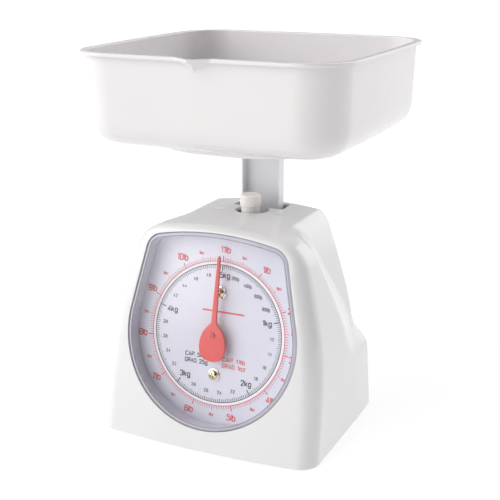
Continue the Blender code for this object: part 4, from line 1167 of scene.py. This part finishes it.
def finish_node(name, material, bevel=0.3):
    """A CAD node with its own finish and slightly rounded edges."""
    obj = frame["nodes"][name]
    obj.data.materials.clear()
    obj.data.materials.append(material)
    weld = obj.modifiers.new("weld", "WELD")
    weld.merge_threshold = 1e-6
    if bevel:
        round_off = obj.modifiers.new("round", "BEVEL")
        round_off.width, round_off.segments = bevel * MM, 2
        round_off.limit_method, round_off.angle_limit = "ANGLE", math.radians(35)
        round_off.use_clamp_overlap = True


def carried_nodes():
    finishes = (
        (COLUMN_GREY, ("column", "column_head")),
        (GREY_PLASTIC, ("base_plate", "rack_guide")),
        (RUBBER, ("foot_front_left", "foot_front_right", "foot_rear_left", "foot_rear_right")),
        (BRASS, ("pinion", "rack", "shaft_bushing")),
    )
    done = {node for piece_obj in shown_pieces() for node in piece_obj.get("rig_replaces", [])}
    for material, names in finishes:
        for name in names:
            finish_node(name, material)
            done.add(name)
    for name in frame["nodes"]:
        if name not in done:
            finish_node(name, STEEL, 0.0 if "spring_" in name and "main" in name else 0.15)


# ---- camera, floor and light

CAMERA_AT = Vector((277.06, -607.58, 312.42)) * MM
LOOK_AT = Vector((20.95, -54.7, 127.73)) * MM
LENS, SENSOR = 74.23, 36.0
FLOOR_HALF, FLOOR_GLOW = 6.0, 0.70  # in metres, and how far it shines by itself
SOFT_LIGHTS = ((-45, 28, 56, 2.9), (140, 28, 55, 2.05), (180, 28, 55, 0.3), (-120, 28, 55, 0.5))
# each one's azimuth, elevation and reach in degrees, and its strength


def camera():
    data = bpy.data.cameras.new("camera")
    data.lens, data.sensor_width = LENS, SENSOR
    obj = bpy.data.objects.new("camera", data)
    bpy.context.scene.collection.objects.link(obj)
    obj.location = CAMERA_AT
    obj.rotation_mode = "QUATERNION"
    obj.rotation_quaternion = (LOOK_AT - CAMERA_AT).to_track_quat("-Z", "Y")
    bpy.context.scene.camera = obj


def floor():
    bm = bmesh.new()
    bmesh.ops.create_grid(bm, x_segments=1, y_segments=1, size=FLOOR_HALF)
    obj = linked("floor", bm)
    s = Shader("floor")
    s.colour(s.noise(3, 2), (0.34, 0.34, 0.34), (0.36, 0.36, 0.36))
    s.set(Roughness=0.9, Emission_Color=(1, 1, 1, 1), Emission_Strength=FLOOR_GLOW)
    obj.data.materials.append(s.material)
    obj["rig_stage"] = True


def direction(azimuth, elevation):
    """A direction from its angle right of the front and its angle above the floor, in degrees."""
    a, e = math.radians(azimuth), math.radians(elevation)
    return (math.sin(a) * math.cos(e), -math.cos(a) * math.cos(e), math.sin(e))


def world(soft_lights):
    """Broad soft lights, and plain white beyond the floor for the camera alone."""
    made = bpy.data.worlds.new("studio")
    made.use_nodes = True
    nodes = Nodes(made.node_tree, "Generated")
    total = None
    for azimuth, elevation, reach, strength in soft_lights:
        across, edge = nodes.along(direction(azimuth, elevation)), math.cos(math.radians(reach))
        glow = nodes.spread(across, 0.0, strength, edge, 1.0, "SMOOTHSTEP")
        total = nodes.math("ADD", total, glow) if total else glow
    seen = nodes.node("ShaderNodeLightPath").outputs["Is Camera Ray"]
    background = nodes.tree.nodes["Background"]
    nodes.link(nodes.math("MAXIMUM", total, seen), background.inputs["Strength"])
    background.inputs["Color"].default_value = (1, 1, 1, 1)
    bpy.context.scene.world = made


def studio():
    bpy.context.scene.view_settings.view_transform = "Standard"
    world(SOFT_LIGHTS)


camera()
floor()
studio()
housing()
dial_cover()
dial_face()
white_band()
kilogram_print()
pound_print()
dial_screws()
pointer()
zero_knob()
platform()
bowl()
carried_nodes()
